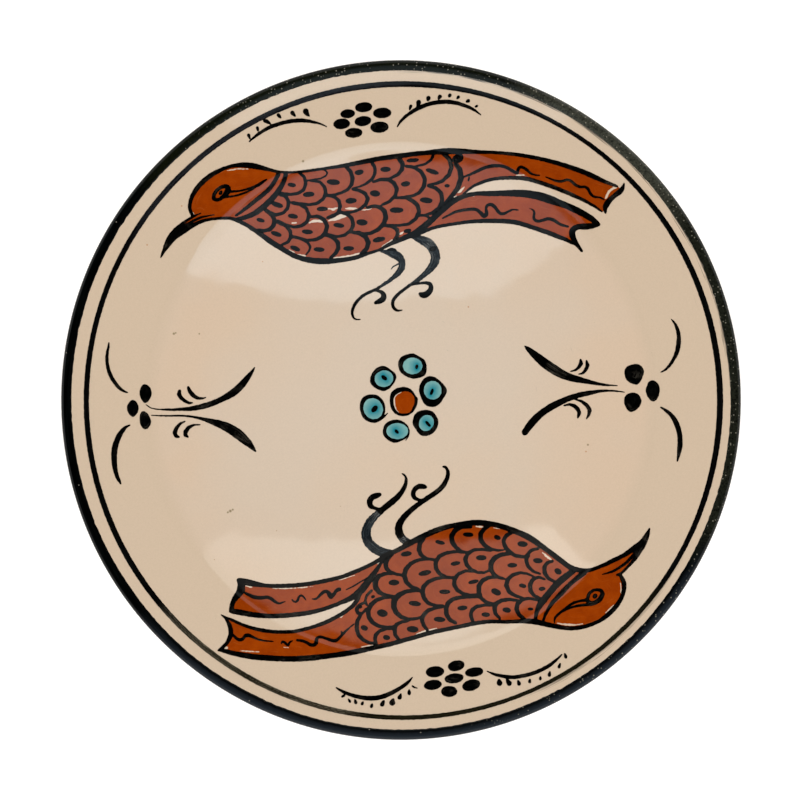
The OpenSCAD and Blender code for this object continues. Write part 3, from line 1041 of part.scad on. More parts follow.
ls_stems = [
  [[-93.9, -1.6, 0.2], [-92, -2.9, 0.3], [-89.6, -3.4, 0.3], [-87.1, -3.5, 0.6],
    [-84.2, -3.6, 0.8], [-81.3, -3.4, 1.0], [-78.4, -3.3, 1.4], [-75.5, -2.9, 1.8],
    [-72.6, -2.2, 1.9], [-70, -1.4, 2.0], [-67.2, -0.2, 1.9], [-64.7, 1, 2.2],
    [-62.2, 2.5, 2.5], [-60, 4.3, 2.6], [-57.9, 6.6, 2.3], [-56, 9.1, 1.6],
    [-54.8, 10.7, 0.9], [-53.9, 12.2, 0.2]],
  [[-92, -5.6, 0.2], [-88.3, -5.8, 0.4], [-84.2, -5.8, 0.5], [-80, -5.8, 0.6],
    [-76.7, -6.2, 0.7], [-73.8, -6.8, 1.0], [-70.9, -7.6, 1.6], [-68, -8.5, 2.4],
    [-65.1, -9.6, 3.0], [-62.6, -10.9, 3.4], [-60.2, -12.5, 3.6], [-58.1, -14.3, 3.2],
    [-56, -16.2, 2.4], [-54.4, -18.1, 1.2], [-53.5, -19.1, 0.3]]
];
ls_crescents = [
  [[-107.3, 21.3, 0.2], [-107.5, 19.4, 0.7], [-108, 16.9, 1.0], [-108, 14, 1.1],
    [-107.5, 11.1, 1.2], [-106.5, 8.6, 1.3], [-105.1, 6.3, 1.2], [-103.4, 4.3, 1.1],
    [-101.8, 3.2, 0.7], [-100.3, 2.7, 0.2]],
  [[-99.5, -9.2, 0.3], [-101.2, -10, 1.0], [-103, -12.1, 1.7], [-104.4, -15, 2.0],
    [-105.2, -17.8, 2.1], [-105.4, -20.7, 2.0], [-105.3, -23.6, 1.8], [-104.8, -26.5, 1.5],
    [-103.9, -29, 1.2], [-102.9, -30.9, 0.4]]
];
ls_berries = [
  [[-94.7, 5.7], [-93.3, 5.5], [-92.2, 4.3], [-91.7, 2.4], [-92.4, 0.4], [-93.7, -1],
    [-94.8, -0.7], [-95.8, 1.2], [-96.1, 2.9], [-95.5, 4.7]],
  [[-98.5, 0], [-97.1, -1], [-96.5, -2.8], [-97, -4.8], [-98.4, -6.2], [-99.8, -5.3],
    [-100.6, -3.6], [-100.5, -2], [-99.7, -0.7]],
  [[-94.6, -4.1], [-93.3, -4.9], [-92.4, -6.6], [-91.9, -8.1], [-92.7, -9.9],
    [-93.9, -10.8], [-95.1, -10.1], [-95.9, -8.4], [-96, -6.4], [-95.6, -4.7]]
];
ls_ticks = [
  [[-81.5, 3.4, 1.0], [-81.8, 2.1, 1.6], [-80.8, 0.6, 1.3], [-79.2, -0.6, 1.1],
    [-77.8, -1.2, 0.8], [-76.6, -1, 0.3]],
  [[-78.4, 4.7, 0.9], [-77.8, 3.2, 1.4], [-76.7, 1.8, 1.5], [-75.2, 0.8, 1.2],
    [-73.4, 0.5, 0.7], [-71.7, 1, 0.2]],
  [[-79.4, -7.8, 0.3], [-81.3, -8.7, 0.9], [-82.7, -10.4, 1.3], [-83.3, -12.2, 1.6],
    [-82.7, -13.4, 1.3], [-81.5, -13.7, 0.4]],
  [[-73.8, -9.1, 0.2], [-76.3, -9.2, 0.7], [-78.2, -10.1, 1.3], [-79.3, -11.6, 1.6],
    [-79.4, -13, 1.4], [-78.3, -13.7, 0.5]]
];
rs_stems = [
  [[45.6, 20, 0.3], [47.1, 18.7, 1.6], [48.9, 17.1, 2.4], [51.1, 15.2, 3.0],
    [53.3, 13.4, 3.4], [55.5, 11.9, 3.4], [57.7, 10.5, 3.3], [59.9, 9.3, 3.0],
    [62.5, 8.3, 2.6], [65.2, 7.6, 2.2], [67.8, 7, 1.8], [70.5, 6.4, 1.3],
    [73.1, 5.9, 1.0], [75.7, 5.5, 0.7], [77.9, 5.4, 0.4], [79.9, 5.3, 0.15]],
  [[82.6, 2.8, 0.1], [80.1, 3.2, 0.4], [77.5, 3.4, 0.6], [74.9, 3.4, 0.8],
    [72.2, 3.1, 1.1], [69.6, 2.6, 1.5], [66.9, 2.1, 1.8], [64.3, 1.4, 1.9],
    [61.7, 0.5, 2.0], [59, -0.7, 2.2], [56.4, -2, 2.4], [54.2, -3.3, 2.4],
    [52, -4.8, 2.4], [49.8, -6.8, 2.6], [48, -8.8, 2.6], [46.5, -10.8, 2.4],
    [45.7, -12, 2.2]]
];
rs_crescents = [
  [[99.2, 29.8, 0.2], [100.6, 28.2, 0.8], [101.7, 25.7, 1.2], [102.1, 23.1, 1.4],
    [102, 20.5, 1.6], [101.5, 17.8, 1.5], [100.4, 15.4, 1.1], [99.1, 13.2, 1.0],
    [97.3, 11.2, 0.7], [95.3, 10.1, 0.2]],
  [[95.3, -2.6, 0.3], [97.3, -3.8, 1.0], [99.1, -5.3, 1.3], [100.6, -7.3, 1.7],
    [101.7, -9.9, 1.8], [102.4, -12.5, 1.7], [102.6, -15.2, 1.8], [102.4, -17.8, 1.7],
    [102, -20.5, 1.0], [101.5, -22.7, 0.3]]
];
rs_berries = [
  [[82.3, 10.1], [83, 12.1], [85.8, 13.2], [87.6, 13], [89, 11.6], [89.3, 10.1],
    [88.5, 7.7], [87.2, 5.8], [85, 6.1], [83, 7.5]],
  [[92.6, 7.2], [94.2, 6.3], [95.1, 4.2], [94.8, 2], [94, 0.2], [92.4, -0.5],
    [91, 0.9], [90.1, 3], [90.4, 4.9], [91.2, 6.7]],
  [[85.8, 2.7], [87.4, 1.9], [88.4, 0], [88, -1.9], [86.6, -3.5], [84.8, -4.4],
    [83.2, -3.4], [82.3, -1.2], [82.4, 1], [83.6, 2.3]]
];
rs_ticks = [
  [[62.3, 10.5, 0.2], [64.3, 11, 0.7], [65.6, 12.1, 1.1], [66.4, 13.5, 1.6],
    [66.2, 15.2, 0.3]],
  [[65.4, 9.5, 0.3], [66.9, 9.8, 0.8], [68.1, 11, 1.1], [68.8, 12.8, 1.4],
    [68.3, 14.7, 0.4]],
  [[59.9, -2.1, 0.3], [62.1, -1.6, 0.9], [63.9, -2.1, 1.3], [65.2, -3.4, 1.5],
    [65.8, -4.8, 1.3], [65.2, -6.6, 0.6]],
  [[64.1, 0.3, 0.3], [66.5, -0.4, 0.9], [68.5, -1.9, 1.3], [69.6, -3.7, 1.5],
    [69.2, -5.5, 1.0], [68.3, -7.1, 0.2]]
];

module left_spray_stems() {
  color(black) painted() strokes(ls_stems);
}

module left_spray_berries() {
  color(black) painted() for (edge = ls_berries) pool(edge);
}

module left_spray_ticks() {
  color(black) painted() strokes(ls_ticks, close_steps);
}

module left_spray_crescents() {
  color(black) painted() strokes(ls_crescents);
}

module right_spray_stems() {
  color(black) painted() strokes(rs_stems);
}

module right_spray_berries() {
  color(black) painted() for (edge = rs_berries) pool(edge);
}

module right_spray_ticks() {
  color(black) painted() strokes(rs_ticks, close_steps);
}

module right_spray_crescents() {
  color(black) painted() strokes(rs_crescents);
}

// ---------------------------------------------------------------- garlands

top_dabs = [
  [-13.7, 107.6, 3.2, 1.8, 5], [-19.6, 105.2, 2.7, 1.6, 5], [-6.9, 105.5, 3.4, 1.9, 3],
  [-14, 102.5, 3.1, 1.8, 8], [-21.8, 101.5, 3.1, 1.9, 5], [-7.9, 100.3, 3.4, 2.0, 3],
  [-17.4, 98.2, 3.2, 1.8, 3]
];
top_arcs = [
  [[-55.9, 94.8, 0.2], [-53.5, 96.9, 0.9], [-50.5, 99, 1.1], [-46.8, 100.8, 1.3],
    [-43.2, 101.9, 1.3], [-39.6, 102.6, 1.4], [-36, 102.7, 1.3], [-32.9, 102.3, 1.0],
    [-29.9, 101.6, 0.6], [-27.2, 100.4, 0.2]],
  [[-1.5, 100.2, 0.2], [0, 102.6, 0.9], [2.7, 105, 1.1], [6.3, 107.2, 1.4],
    [10, 108.7, 1.4], [13.6, 109.4, 1.4], [17.2, 109.6, 1.5], [20.8, 109, 1.3],
    [24.5, 107.8, 1.1], [27.2, 106.4, 0.8], [29.5, 104.6, 0.2]]
];
// comma strokes from the head to the tail of each
top_commas = [
  [[-56, 97.4, 1.1], [-55.5, 96, 0.5]],
  [[-52.8, 100.1, 1.1], [-52.5, 98.8, 0.5]],
  [[-50, 102.6, 1.3], [-49, 102.2, 1.4], [-47.8, 101.3, 0.3]],
  [[-45.1, 104.7, 1.3], [-44, 103.5, 0.3]],
  [[-39.9, 105.5, 1.6], [-38.8, 104.2, 0.3]],
  [[-35, 106.1, 2.1], [-34.6, 105.2, 1.6], [-33.5, 104.2, 0.3]],
  [[3.6, 108, 1.2], [3.1, 106.5, 0.3]],
  [[6.5, 109.4, 1.8], [5.9, 107.8, 0.4]],
  [[10.1, 111, 1.6], [9.7, 109.8, 0.4]],
  [[14.3, 111.5, 1.5], [13.7, 110.5, 0.5]],
  [[18, 112, 1.3], [17.5, 111.2, 0.4]],
  [[21.1, 111.3, 1.2], [20.5, 110.6, 0.4]],
  [[24.8, 110, 1.3], [23.9, 109.5, 0.4]],
  [[28, 108.1, 0.8], [27.2, 107.6, 0.4]]
];
bottom_dabs = [
  [20.3, -97.7, 3.1, 1.9, 12], [12.5, -99.9, 3.4, 2.0, 5], [26.9, -100, 3.4, 1.7, 8],
  [19.5, -102.3, 3.5, 1.8, 8], [11.7, -104.7, 3.3, 1.8, 8], [25.8, -104.8, 3.4, 2.0, 15],
  [17.7, -107.1, 3.0, 2.0, 0]
];
bottom_arcs = [
  [[-24, -105.5, 0.2], [-21.8, -106.9, 0.9], [-18.8, -108.2, 1.2], [-15.2, -109.2, 1.4],
    [-11.1, -109.6, 1.6], [-7.5, -109.2, 1.6], [-4, -107.9, 1.5], [-1, -106.3, 1.3],
    [1.7, -104.5, 1.2], [3.4, -102.9, 0.7], [4.3, -101.8, 0.2]],
  [[31.5, -99.6, 0.2], [34, -100.7, 0.8], [37.5, -101.5, 1.2], [41.1, -101.9, 1.3],
    [44.6, -101.4, 1.3], [48.2, -100.5, 1.3], [51.7, -99.1, 1.3], [54.7, -97.4, 1.2],
    [57.4, -95.2, 0.8], [59.3, -93.3, 0.2]]
];
bottom_commas = [
  [[-20.8, -108.5, 0.8], [-21.7, -109.1, 0.7]],
  [[-19.4, -109.8, 0.4], [-18.7, -110.9, 0.9]],
  [[-17, -110, 0.4], [-16.6, -111.2, 1.2]],
  [[-13.9, -110.8, 0.4], [-14.3, -111.7, 1.1]],
  [[-10.5, -111.5, 0.3], [-10.9, -112.6, 1.2]],
  [[-6.2, -110.3, 0.4], [-6.9, -111.8, 1.7]],
  [[-2.8, -109.7, 0.5], [-3.2, -111.2, 2.2]],
  [[0, -107.9, 0.4], [-0.5, -109.3, 1.6]],
  [[3, -106.3, 0.3], [3, -107.8, 1.3]],
  [[4.1, -105, 0.5], [5, -105.7, 0.4], [6.1, -105.9, 0.3]],
  [[36, -102.7, 0.6], [36.2, -104, 2.1]],
  [[38.9, -102.8, 0.8], [39.8, -104.1, 1.9]],
  [[43, -103, 0.5], [43.4, -104.3, 1.4]],
  [[47.4, -102.5, 0.4], [47.3, -103.5, 1.2]],
  [[51.2, -101.5, 0.4], [51.2, -102.5, 1.1]],
  [[54.7, -99.6, 0.3], [54.5, -101, 1.3]],
  [[58.5, -96.6, 0.3], [58.1, -98.1, 1.1]],
  [[60.2, -93.2, 0.7], [60.6, -94.5, 1.1]]
];

module top_rosette() {
  color(black) painted() dabs(top_dabs);
}

module top_garland_arcs() {
  color(black) painted() strokes(top_arcs);
}

module top_garland_ticks() {
  color(black) painted() strokes(top_commas, close_steps);
}

module bottom_rosette() {
  color(black) painted() dabs(bottom_dabs);
}

module bottom_garland_arcs() {
  color(black) painted() strokes(bottom_arcs);
}

module bottom_garland_ticks() {
  color(black) painted() strokes(bottom_commas, close_steps);
}

// ---------------------------------------------------------------- rim and coats

// line drawn on the turning wheel: its middle is off the axis and its width swells
ring_mid = [0.8, -0.3];
ring_r = 116.4;
ring_points = 120;
// width of the line every 30 degrees, beginning on the right
ring_widths = [2.1, 1.9, 1.4, 2, 1.8, 1.8, 1.8, 2, 1.7, 1.5, 1.3, 1.7];

function ring_width(a) =
  let (
    n = len(ring_widths),
    at = a * n / 360,
    i = floor(at)
  )
  ring_widths[i % n] + (ring_widths[(i + 1) % n] - ring_widths[i % n]) * (at - i);

function ring_edge(s) = [
  for (i = [0 : ring_points - 1])
    let (
      a = 360 * i / ring_points,
      r = ring_r + s * ring_width(a) / 2
    )
    [ring_mid[0] + r * cos(a), ring_mid[1] + r * sin(a)]
];

module lining_ring() {
  color(green_black) painted() difference() {
    polygon(ring_edge(1));
    polygon(ring_edge(-1));
  }
}

// dark band over the lip, from the face of the rim to its back
band_r = 121;

module rim_band() {
  color(green_black) rotate_extrude() polygon(concat(
    [[band_r, rim_z(band_r, glaze_t)]],
    back_to_front(lip_line(glaze_t)),
    lip_line(coats_t),
    [[band_r, rim_z(band_r, coats_t)]]
  ));
}

module clay_body() {
  color(clay) rotate_extrude() clay_section();
}

module glaze_coat() {
  color(cream) rotate_extrude() glaze_section();
}

// glaze on the hollow inside the foot ring
module foot_hollow_glaze() {
  color(cream) rotate_extrude() polygon([
    [0, hollow_z], [foot_in - 2, hollow_z + 1.6],
    [foot_in - 2, hollow_z + 1.6 - glaze_t], [0, hollow_z - glaze_t]
  ]);
}

clay_body();
glaze_coat();
foot_hollow_glaze();
rim_band();
lining_ring();
upper_bird_body_fill();
upper_bird_head_fill();
upper_bird_tail_fill();
upper_bird_outline();
upper_bird_collar();
upper_bird_scales();
upper_bird_scale_dots();
upper_bird_eye();
upper_bird_tail_veins();
upper_bird_thighs();
upper_bird_toes();
lower_bird_body_fill();
lower_bird_head_fill();
lower_bird_tail_fill();
lower_bird_outline();
lower_bird_collar();
lower_bird_scales();
lower_bird_scale_dots();
lower_bird_eye();
lower_bird_tail_veins();
lower_bird_thighs();
lower_bird_toes();
flower_heart();
flower_heart_ring();
flower_petals();
flower_petal_rings();
flower_petal_pips();
left_spray_stems();
left_spray_berries();
left_spray_ticks();
left_spray_crescents();
right_spray_stems();
right_spray_berries();
right_spray_ticks();
right_spray_crescents();
top_rosette();
top_garland_arcs();
top_garland_ticks();
bottom_rosette();
bottom_garland_arcs();
bottom_garland_ticks();
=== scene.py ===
"""Looks of the hand painted ceramic plate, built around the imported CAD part.

The dish is thrown again as smooth revolved skins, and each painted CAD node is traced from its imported
mesh and laid back on the glaze as a thin coat with a brushed edge.
Lengths are in metres. Z is the axis of the dish and Y points to the upper bird.
"""

import json
import math

import bpy
import numpy as np
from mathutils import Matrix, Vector, kdtree, noise
from mathutils.bvhtree import BVHTree
from mathutils.geometry import delaunay_2d_cdt


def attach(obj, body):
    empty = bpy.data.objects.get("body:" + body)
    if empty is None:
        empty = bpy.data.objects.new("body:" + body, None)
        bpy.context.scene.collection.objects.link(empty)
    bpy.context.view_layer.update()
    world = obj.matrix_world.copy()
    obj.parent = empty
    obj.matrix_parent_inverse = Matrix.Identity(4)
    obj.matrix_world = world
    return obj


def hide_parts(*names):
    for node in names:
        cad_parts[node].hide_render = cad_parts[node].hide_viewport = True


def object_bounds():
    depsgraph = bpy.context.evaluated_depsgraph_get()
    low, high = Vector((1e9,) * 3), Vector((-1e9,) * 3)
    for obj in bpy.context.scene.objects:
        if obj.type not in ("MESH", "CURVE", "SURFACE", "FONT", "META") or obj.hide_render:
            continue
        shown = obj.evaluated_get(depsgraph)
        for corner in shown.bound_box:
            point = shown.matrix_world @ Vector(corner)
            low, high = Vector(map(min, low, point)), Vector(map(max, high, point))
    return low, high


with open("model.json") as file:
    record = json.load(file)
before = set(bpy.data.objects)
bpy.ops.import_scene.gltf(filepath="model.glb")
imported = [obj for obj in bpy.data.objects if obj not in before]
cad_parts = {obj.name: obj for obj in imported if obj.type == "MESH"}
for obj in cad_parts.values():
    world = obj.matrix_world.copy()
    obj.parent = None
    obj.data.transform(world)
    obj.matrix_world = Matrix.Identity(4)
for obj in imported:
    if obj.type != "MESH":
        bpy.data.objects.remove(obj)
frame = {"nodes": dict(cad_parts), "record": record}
cad_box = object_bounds()

MM = 0.001
BODY = "root"

# ---------------------------------------------------------------- dish sizes, as in the CAD source

PLATE_R = cad_box[1].x
WELL_R = 300 * MM
WELL_Z = 8 * MM
CREASE_R = 94 * MM
RIM_ANGLE = math.radians(6.5)
EDGE_ANGLE = math.radians(11)
TURN_R = 114.3 * MM
LIP_R = 2.2 * MM
EDGE_R = 0.8 * MM
FOOT_R = 68 * MM
FOOT_IN = 60 * MM
HOLLOW_Z = 3 * MM
HOLLOW_RISE = 1.6 * MM
GLAZE = 0.4 * MM
PAINT = 0.2 * MM
BAND_R = 121 * MM

WELL_C = WELL_Z + WELL_R
CREASE_Z = WELL_C - math.sqrt(WELL_R**2 - CREASE_R**2)
TURN_Z = CREASE_Z + (TURN_R - CREASE_R) * math.tan(RIM_ANGLE)
LIP_X = PLATE_R - GLAZE - PAINT - LIP_R
LIP_Z = TURN_Z + (LIP_X - TURN_R) * math.tan(EDGE_ANGLE) - LIP_R / math.cos(EDGE_ANGLE)
EDGE_X = LIP_X + LIP_R - EDGE_R
EDGE_Z = TURN_Z + (EDGE_X - TURN_R) * math.tan(EDGE_ANGLE) - EDGE_R / math.cos(EDGE_ANGLE)
CREASE_SOFT = 0.3 * MM  # how much the crease between well and rim is rounded
TURN_SOFT = 2.5 * MM  # how far from the turn the slope of the rim changes

# heights of the coats above the glaze, lowest first
WASH_H = 0.03 * MM
GREY_H = 0.042 * MM
LINE_H = 0.06 * MM
BAND_H = 0.06 * MM
SUNK = 0.08 * MM  # how deep the underside of a coat is sunk in the glaze

WAVES = (  # the dish isn't quite true: length, direction, phase and height of each slow wave
    (0.110, 0.4, 0.3, 0.05 * MM),
    (0.083, 1.7, 2.1, 0.04 * MM),
    (0.061, 2.9, 4.0, 0.02 * MM),
)


def smooth(t):
    """0 below 0, 1 above 1 and an even curve between."""
    t = np.clip(t, 0.0, 1.0)
    return t * t * (3 - 2 * t)


def waviness(x, y):
    """Height by which the hand thrown dish strays from a true one."""
    total = 0.0
    for length, turn, phase, height in WAVES:
        run = x * math.cos(turn) + y * math.sin(turn)
        total = total + height * np.sin(2 * math.pi * run / length + phase)
    return total


def thrown(x, y, z):
    """Height of a point once the dish strays from true. The foot stays flat."""
    return z + waviness(x, y) * smooth((z - 2 * MM) / (4 * MM))


def true_face(r, skin):
    """Height of the face at distance r, raised by a skin, with a soft crease and a soft turn."""
    well = WELL_C - np.sqrt((WELL_R - skin) ** 2 - np.minimum(r, CREASE_R + 20 * MM) ** 2)
    past = r - TURN_R
    bend = (past + TURN_SOFT) ** 2 / TURN_SOFT / 4
    turned = np.where(np.abs(past) < TURN_SOFT, bend, np.maximum(past, 0.0))
    steeper = math.tan(EDGE_ANGLE) - math.tan(RIM_ANGLE)
    rim = TURN_Z + past * math.tan(RIM_ANGLE) + turned * steeper + skin / math.cos(EDGE_ANGLE)
    near = np.maximum(CREASE_SOFT - np.abs(well - rim), 0.0) / CREASE_SOFT
    crossed = np.minimum(well, rim) - near**2 * CREASE_SOFT / 4
    return np.where(r < CREASE_R / 2, well, crossed)


def face_z(x, y):
    """Height of the glazed face."""
    z = true_face(np.hypot(x, y), GLAZE)
    return thrown(x, y, z)


def face_normals(x, y):
    """Unit normals of the glazed face."""
    step = 0.2 * MM
    dx = (face_z(x + step, y) - face_z(x - step, y)) / (2 * step)
    dy = (face_z(x, y + step) - face_z(x, y - step)) / (2 * step)
    n = np.stack([-dx, -dy, np.ones_like(dx)], axis=1)
    return n / np.linalg.norm(n, axis=1)[:, None]


# ---------------------------------------------------------------- revolved skins


SIDES = 480
CURVE_STEPS = 6  # steps of a curve from one of its points to the next
FACE_STEP = 1.5 * MM


def flowing(points):
    """Smooth open curve through the points."""
    out = []
    last = len(points) - 1
    for i in range(last):
        a, b, c, d = (np.array(points[min(max(j, 0), last)]) for j in (i - 1, i, i + 1, i + 2))
        for k in range(CURVE_STEPS):
            t = k / CURVE_STEPS
            p = 2 * b + (c - a) * t + (2 * a - 5 * b + 4 * c - d) * t**2 + (3 * b - a - 3 * c + d) * t**3
            out.append(tuple(0.5 * p))
    out.append(tuple(points[last]))
    return out


def back_points(skin):
    """Back of the dish from the foot ring out to the lip."""
    rows = (
        (0, 6.5, 1.0, 0.0),
        (3.5, 9.6, 0.7, 0.7),
        (9, 12.6, 0.5, 0.9),
        (16, 15.4, 0.4, 0.9),
        (24, 17.6, 0.3, 1.0),
        (34, 19.6, 0.2, 1.0),
    )
    return [(FOOT_R + r * MM + skin * out, z * MM - skin * down) for r, z, out, down in rows]


def arc(x, z, radius, start, stop, count):
    """Points on an arc about a point of the section. Angles are in degrees."""
    turns = [math.radians(start + (stop - start) * i / count) for i in range(count + 1)]
    return [(x + radius * math.cos(a), z + radius * math.sin(a)) for a in turns]


def lip_points(skin):
    """Lip from the back of the rim round to its face."""
    tilt = math.degrees(EDGE_ANGLE)
    back = arc(LIP_X, LIP_Z, LIP_R + skin, tilt - 90, 0, 8)
    return back + arc(EDGE_X, EDGE_Z, EDGE_R + skin, 0, tilt + 90, 14)


def face_points(skin):
    """Face from the lip in to the axis."""
    radii = np.arange(LIP_X - 0.2 * MM, 0.5 * MM, -FACE_STEP)
    return [(r, float(true_face(r, skin))) for r in radii] + [(0.0, float(true_face(0.0, skin)))]


def outside(skin, start):
    """Back, lip and face of the dish, beginning at the point start on the foot."""
    back = flowing([start] + back_points(skin) + [lip_points(skin)[0]])
    return back[:-1] + lip_points(skin) + face_points(skin)


def spin(name, section):
    """Closed revolved mesh of a section that starts and ends on the axis or closes on itself."""
    verts = []
    rings = []
    for r, z in section:
        if r < 1e-7:
            rings.append([len(verts)] * SIDES)
            verts.append((0.0, 0.0, z))
            continue
        rings.append(list(range(len(verts), len(verts) + SIDES)))
        for i in range(SIDES):
            a = 2 * math.pi * i / SIDES
            verts.append((r * math.cos(a), r * math.sin(a), z))
    xyz = np.array(verts)
    xyz[:, 2] = thrown(xyz[:, 0], xyz[:, 1], xyz[:, 2])
    pairs = list(zip(rings, rings[1:]))
    if section[0][0] > 1e-7:
        pairs.append((rings[-1], rings[0]))
    faces = []
    for a, b in pairs:
        for i in range(SIDES):
            j = (i + 1) % SIDES
            quad = [a[i], a[j], b[j], b[i]]
            face = [v for k, v in enumerate(quad) if v not in quad[:k]]
            if len(face) > 2:
                faces.append(face)
    return new_piece(name, xyz, faces)


def new_piece(name, xyz, faces):
    """Mesh object of the given points and faces, smooth shaded."""
    mesh = bpy.data.meshes.new(name)
    mesh.from_pydata([tuple(p) for p in xyz], [], faces)
    mesh.polygons.foreach_set("use_smooth", [True] * len(mesh.polygons))
    mesh.update()
    obj = bpy.data.objects.new(name, mesh)
    bpy.context.scene.collection.objects.link(obj)
    return obj


def settle(obj, material, slot, *nodes):
    """Gives a piece its material and its body, and hides the CAD nodes that it stands for. The slot is not
    used.
    """
    obj.data.materials.append(material)
    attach(obj, BODY)
    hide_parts(*nodes)
    return obj


# ---------------------------------------------------------------- tracing painted nodes

OUTLINE_STEP = 0.3 * MM
ROUND_PASSES = 6  # how often an outline is averaged with its neighbours, which rounds its corners
SHAKE = {"lines": (0.10 * MM, 1.0 * MM), "fills": (0.22 * MM, 0.8 * MM)}  # reach and length of edge wander
SPREAD = {"lines": 0.08 * MM, "fills": 0.0}  # how far the colour ran out before it dried
UNDER = 0.4 * MM  # how far a coat runs on under a neighbour
PEEK = 0.24 * MM  # how far past an outline a neighbour is looked for
GRAIN = 0.7 * MM  # step of the grid of points inside an outline


def cad_triangles(node):
    """Welded points and triangles of a CAD node."""
    mesh = frame["nodes"][node].data
    mesh.calc_loop_triangles()
    co = np.empty(len(mesh.vertices) * 3)
    mesh.vertices.foreach_get("co", co)
    corners = np.empty(len(mesh.loop_triangles) * 3, dtype=np.int32)
    mesh.loop_triangles.foreach_get("vertices", corners)
    points, weld = np.unique(np.round(co.reshape(-1, 3), 8), axis=0, return_inverse=True)
    return points, weld.reshape(-1)[corners].reshape(-1, 3)


def upper_faces(node):
    """Welded points of a CAD node and those of its triangles that face up."""
    points, tris = cad_triangles(node)
    a, b, c = (points[tris[:, k]] for k in range(3))
    normal = np.cross(b - a, c - a)
    up = normal[:, 2] > 0.5 * np.linalg.norm(normal, axis=1)
    return points, tris[up]


def outlines(node):
    """Closed outlines of a painted CAD node, its paint on the left of each."""
    points, tris = upper_faces(node)
    edges = set()
    for t in tris.tolist():
        edges.update(((t[0], t[1]), (t[1], t[2]), (t[2], t[0])))
    after = {}
    for a, b in edges:
        if (b, a) not in edges:
            after.setdefault(a, []).append(b)
    loops = []
    while after:
        start = next(iter(after))
        loop = []
        at = start
        while at in after:
            loop.append(at)
            following = after[at].pop()
            if not after[at]:
                del after[at]
            at = following
        if len(loop) > 2:
            loops.append(points[loop][:, :2])
    return loops


def resampled(loop):
    """The loop with points at even steps."""
    ends = np.vstack([loop, loop[:1]])
    run = np.concatenate([[0.0], np.cumsum(np.linalg.norm(np.diff(ends, axis=0), axis=1))])
    count = max(8, int(round(run[-1] / OUTLINE_STEP)))
    at = np.arange(count) * run[-1] / count
    return np.stack([np.interp(at, run, ends[:, k]) for k in range(2)], axis=1)


def averaged(values, passes):
    """Values round a closed loop, each averaged with its neighbours several times."""
    for _ in range(passes):
        values = (np.roll(values, 1, axis=0) + 2 * values + np.roll(values, -1, axis=0)) / 4
    return values


def rounded(loop):
    """The loop with its corners rounded, but as large as before."""
    soft = averaged(loop, ROUND_PASSES)
    return 2 * soft - averaged(soft, ROUND_PASSES)


def outward(loop):
    """Unit vectors in the plane that point away from the paint."""
    run = np.roll(loop, -1, axis=0) - np.roll(loop, 1, axis=0)
    length = np.maximum(np.linalg.norm(run, axis=1), 1e-9)
    return np.stack([run[:, 1], -run[:, 0]], axis=1) / length[:, None]


def shake(loop, kind):
    """Small wander of a brush edge at each point of a loop."""
    reach, length = SHAKE[kind]
    return np.array([reach * noise.noise(Vector((x, y, 0.0)) / length) for x, y in loop])


class Cover:
    """Finds which painted CAD node covers a place."""

    def __init__(self, nodes):
        points = []
        tris = []
        self.owner = []
        for node in nodes:
            p, t = upper_faces(node)
            tris += (t + sum(len(q) for q in points)).tolist()
            points.append(p)
            self.owner += [node] * len(t)
        self.tree = BVHTree.FromPolygons([tuple(p) for q in points for p in q], tris)

    def other(self, x, y, node):
        """True if a node other than this one covers the place."""
        hit = self.tree.ray_cast(Vector((x, y, 1.0)), Vector((0, 0, -1)))
        return hit[2] is not None and self.owner[hit[2]] != node


def brushed(node, cover, kind):
    """Outlines of a painted node as a brush leaves them, run on under its darker neighbours."""
    made = []
    for loop in outlines(node):
        loop = rounded(resampled(loop))
        away = outward(loop)
        peek = loop + away * PEEK
        under = np.array([1.0 if cover.other(x, y, node) else 0.0 for x, y in peek])
        push = averaged(under, 1) * UNDER + (1 - under) * (shake(loop, kind) + SPREAD[kind])
        made.append(loop + away * push[:, None])
    return made


# ---------------------------------------------------------------- filling outlines


def winding(x, y, loops):
    """How often the loops go round each of the places."""
    count = np.zeros(len(x), dtype=int)
    for loop in loops:
        low, high = loop.min(axis=0), loop.max(axis=0)
        near = np.nonzero((y >= low[1]) & (y <= high[1]) & (x <= high[0]))[0]
        if len(near) == 0:
            continue
        a, b = loop, np.roll(loop, -1, axis=0)
        px, py = x[near][:, None], y[near][:, None]
        up = (a[:, 1] <= py) & (b[:, 1] > py)
        down = (a[:, 1] > py) & (b[:, 1] <= py)
        side = (b[:, 0] - a[:, 0]) * (py - a[:, 1]) - (px - a[:, 0]) * (b[:, 1] - a[:, 1])
        count[near] += ((up & (side > 0)).sum(axis=1) - (down & (side < 0)).sum(axis=1))
    return count


def row_fill(loops):
    """Even grid of places inside the loops, worked out row by row."""
    a = np.vstack(loops)
    b = np.vstack([np.roll(loop, -1, axis=0) for loop in loops])
    low, high = a.min(axis=0), a.max(axis=0)
    out = []
    row = 0
    y = low[1] + GRAIN / 2
    while y < high[1]:
        cross = ((a[:, 1] <= y) != (b[:, 1] <= y)).nonzero()[0]
        t = (y - a[cross, 1]) / (b[cross, 1] - a[cross, 1])
        xs = a[cross, 0] + t * (b[cross, 0] - a[cross, 0])
        turn = np.where(b[cross, 1] > y, -1, 1)
        order = np.argsort(xs)
        level = 0
        for i, j in zip(order[:-1], order[1:]):
            level += turn[i]
            if level != 0:
                first = math.ceil((xs[i] - low[0]) / GRAIN - row % 2 / 2) + row % 2 / 2
                out += [(x, y) for x in np.arange(low[0] + first * GRAIN, xs[j], GRAIN)]
        y += GRAIN * 0.866
        row += 1
    return np.array(out).reshape(-1, 2)


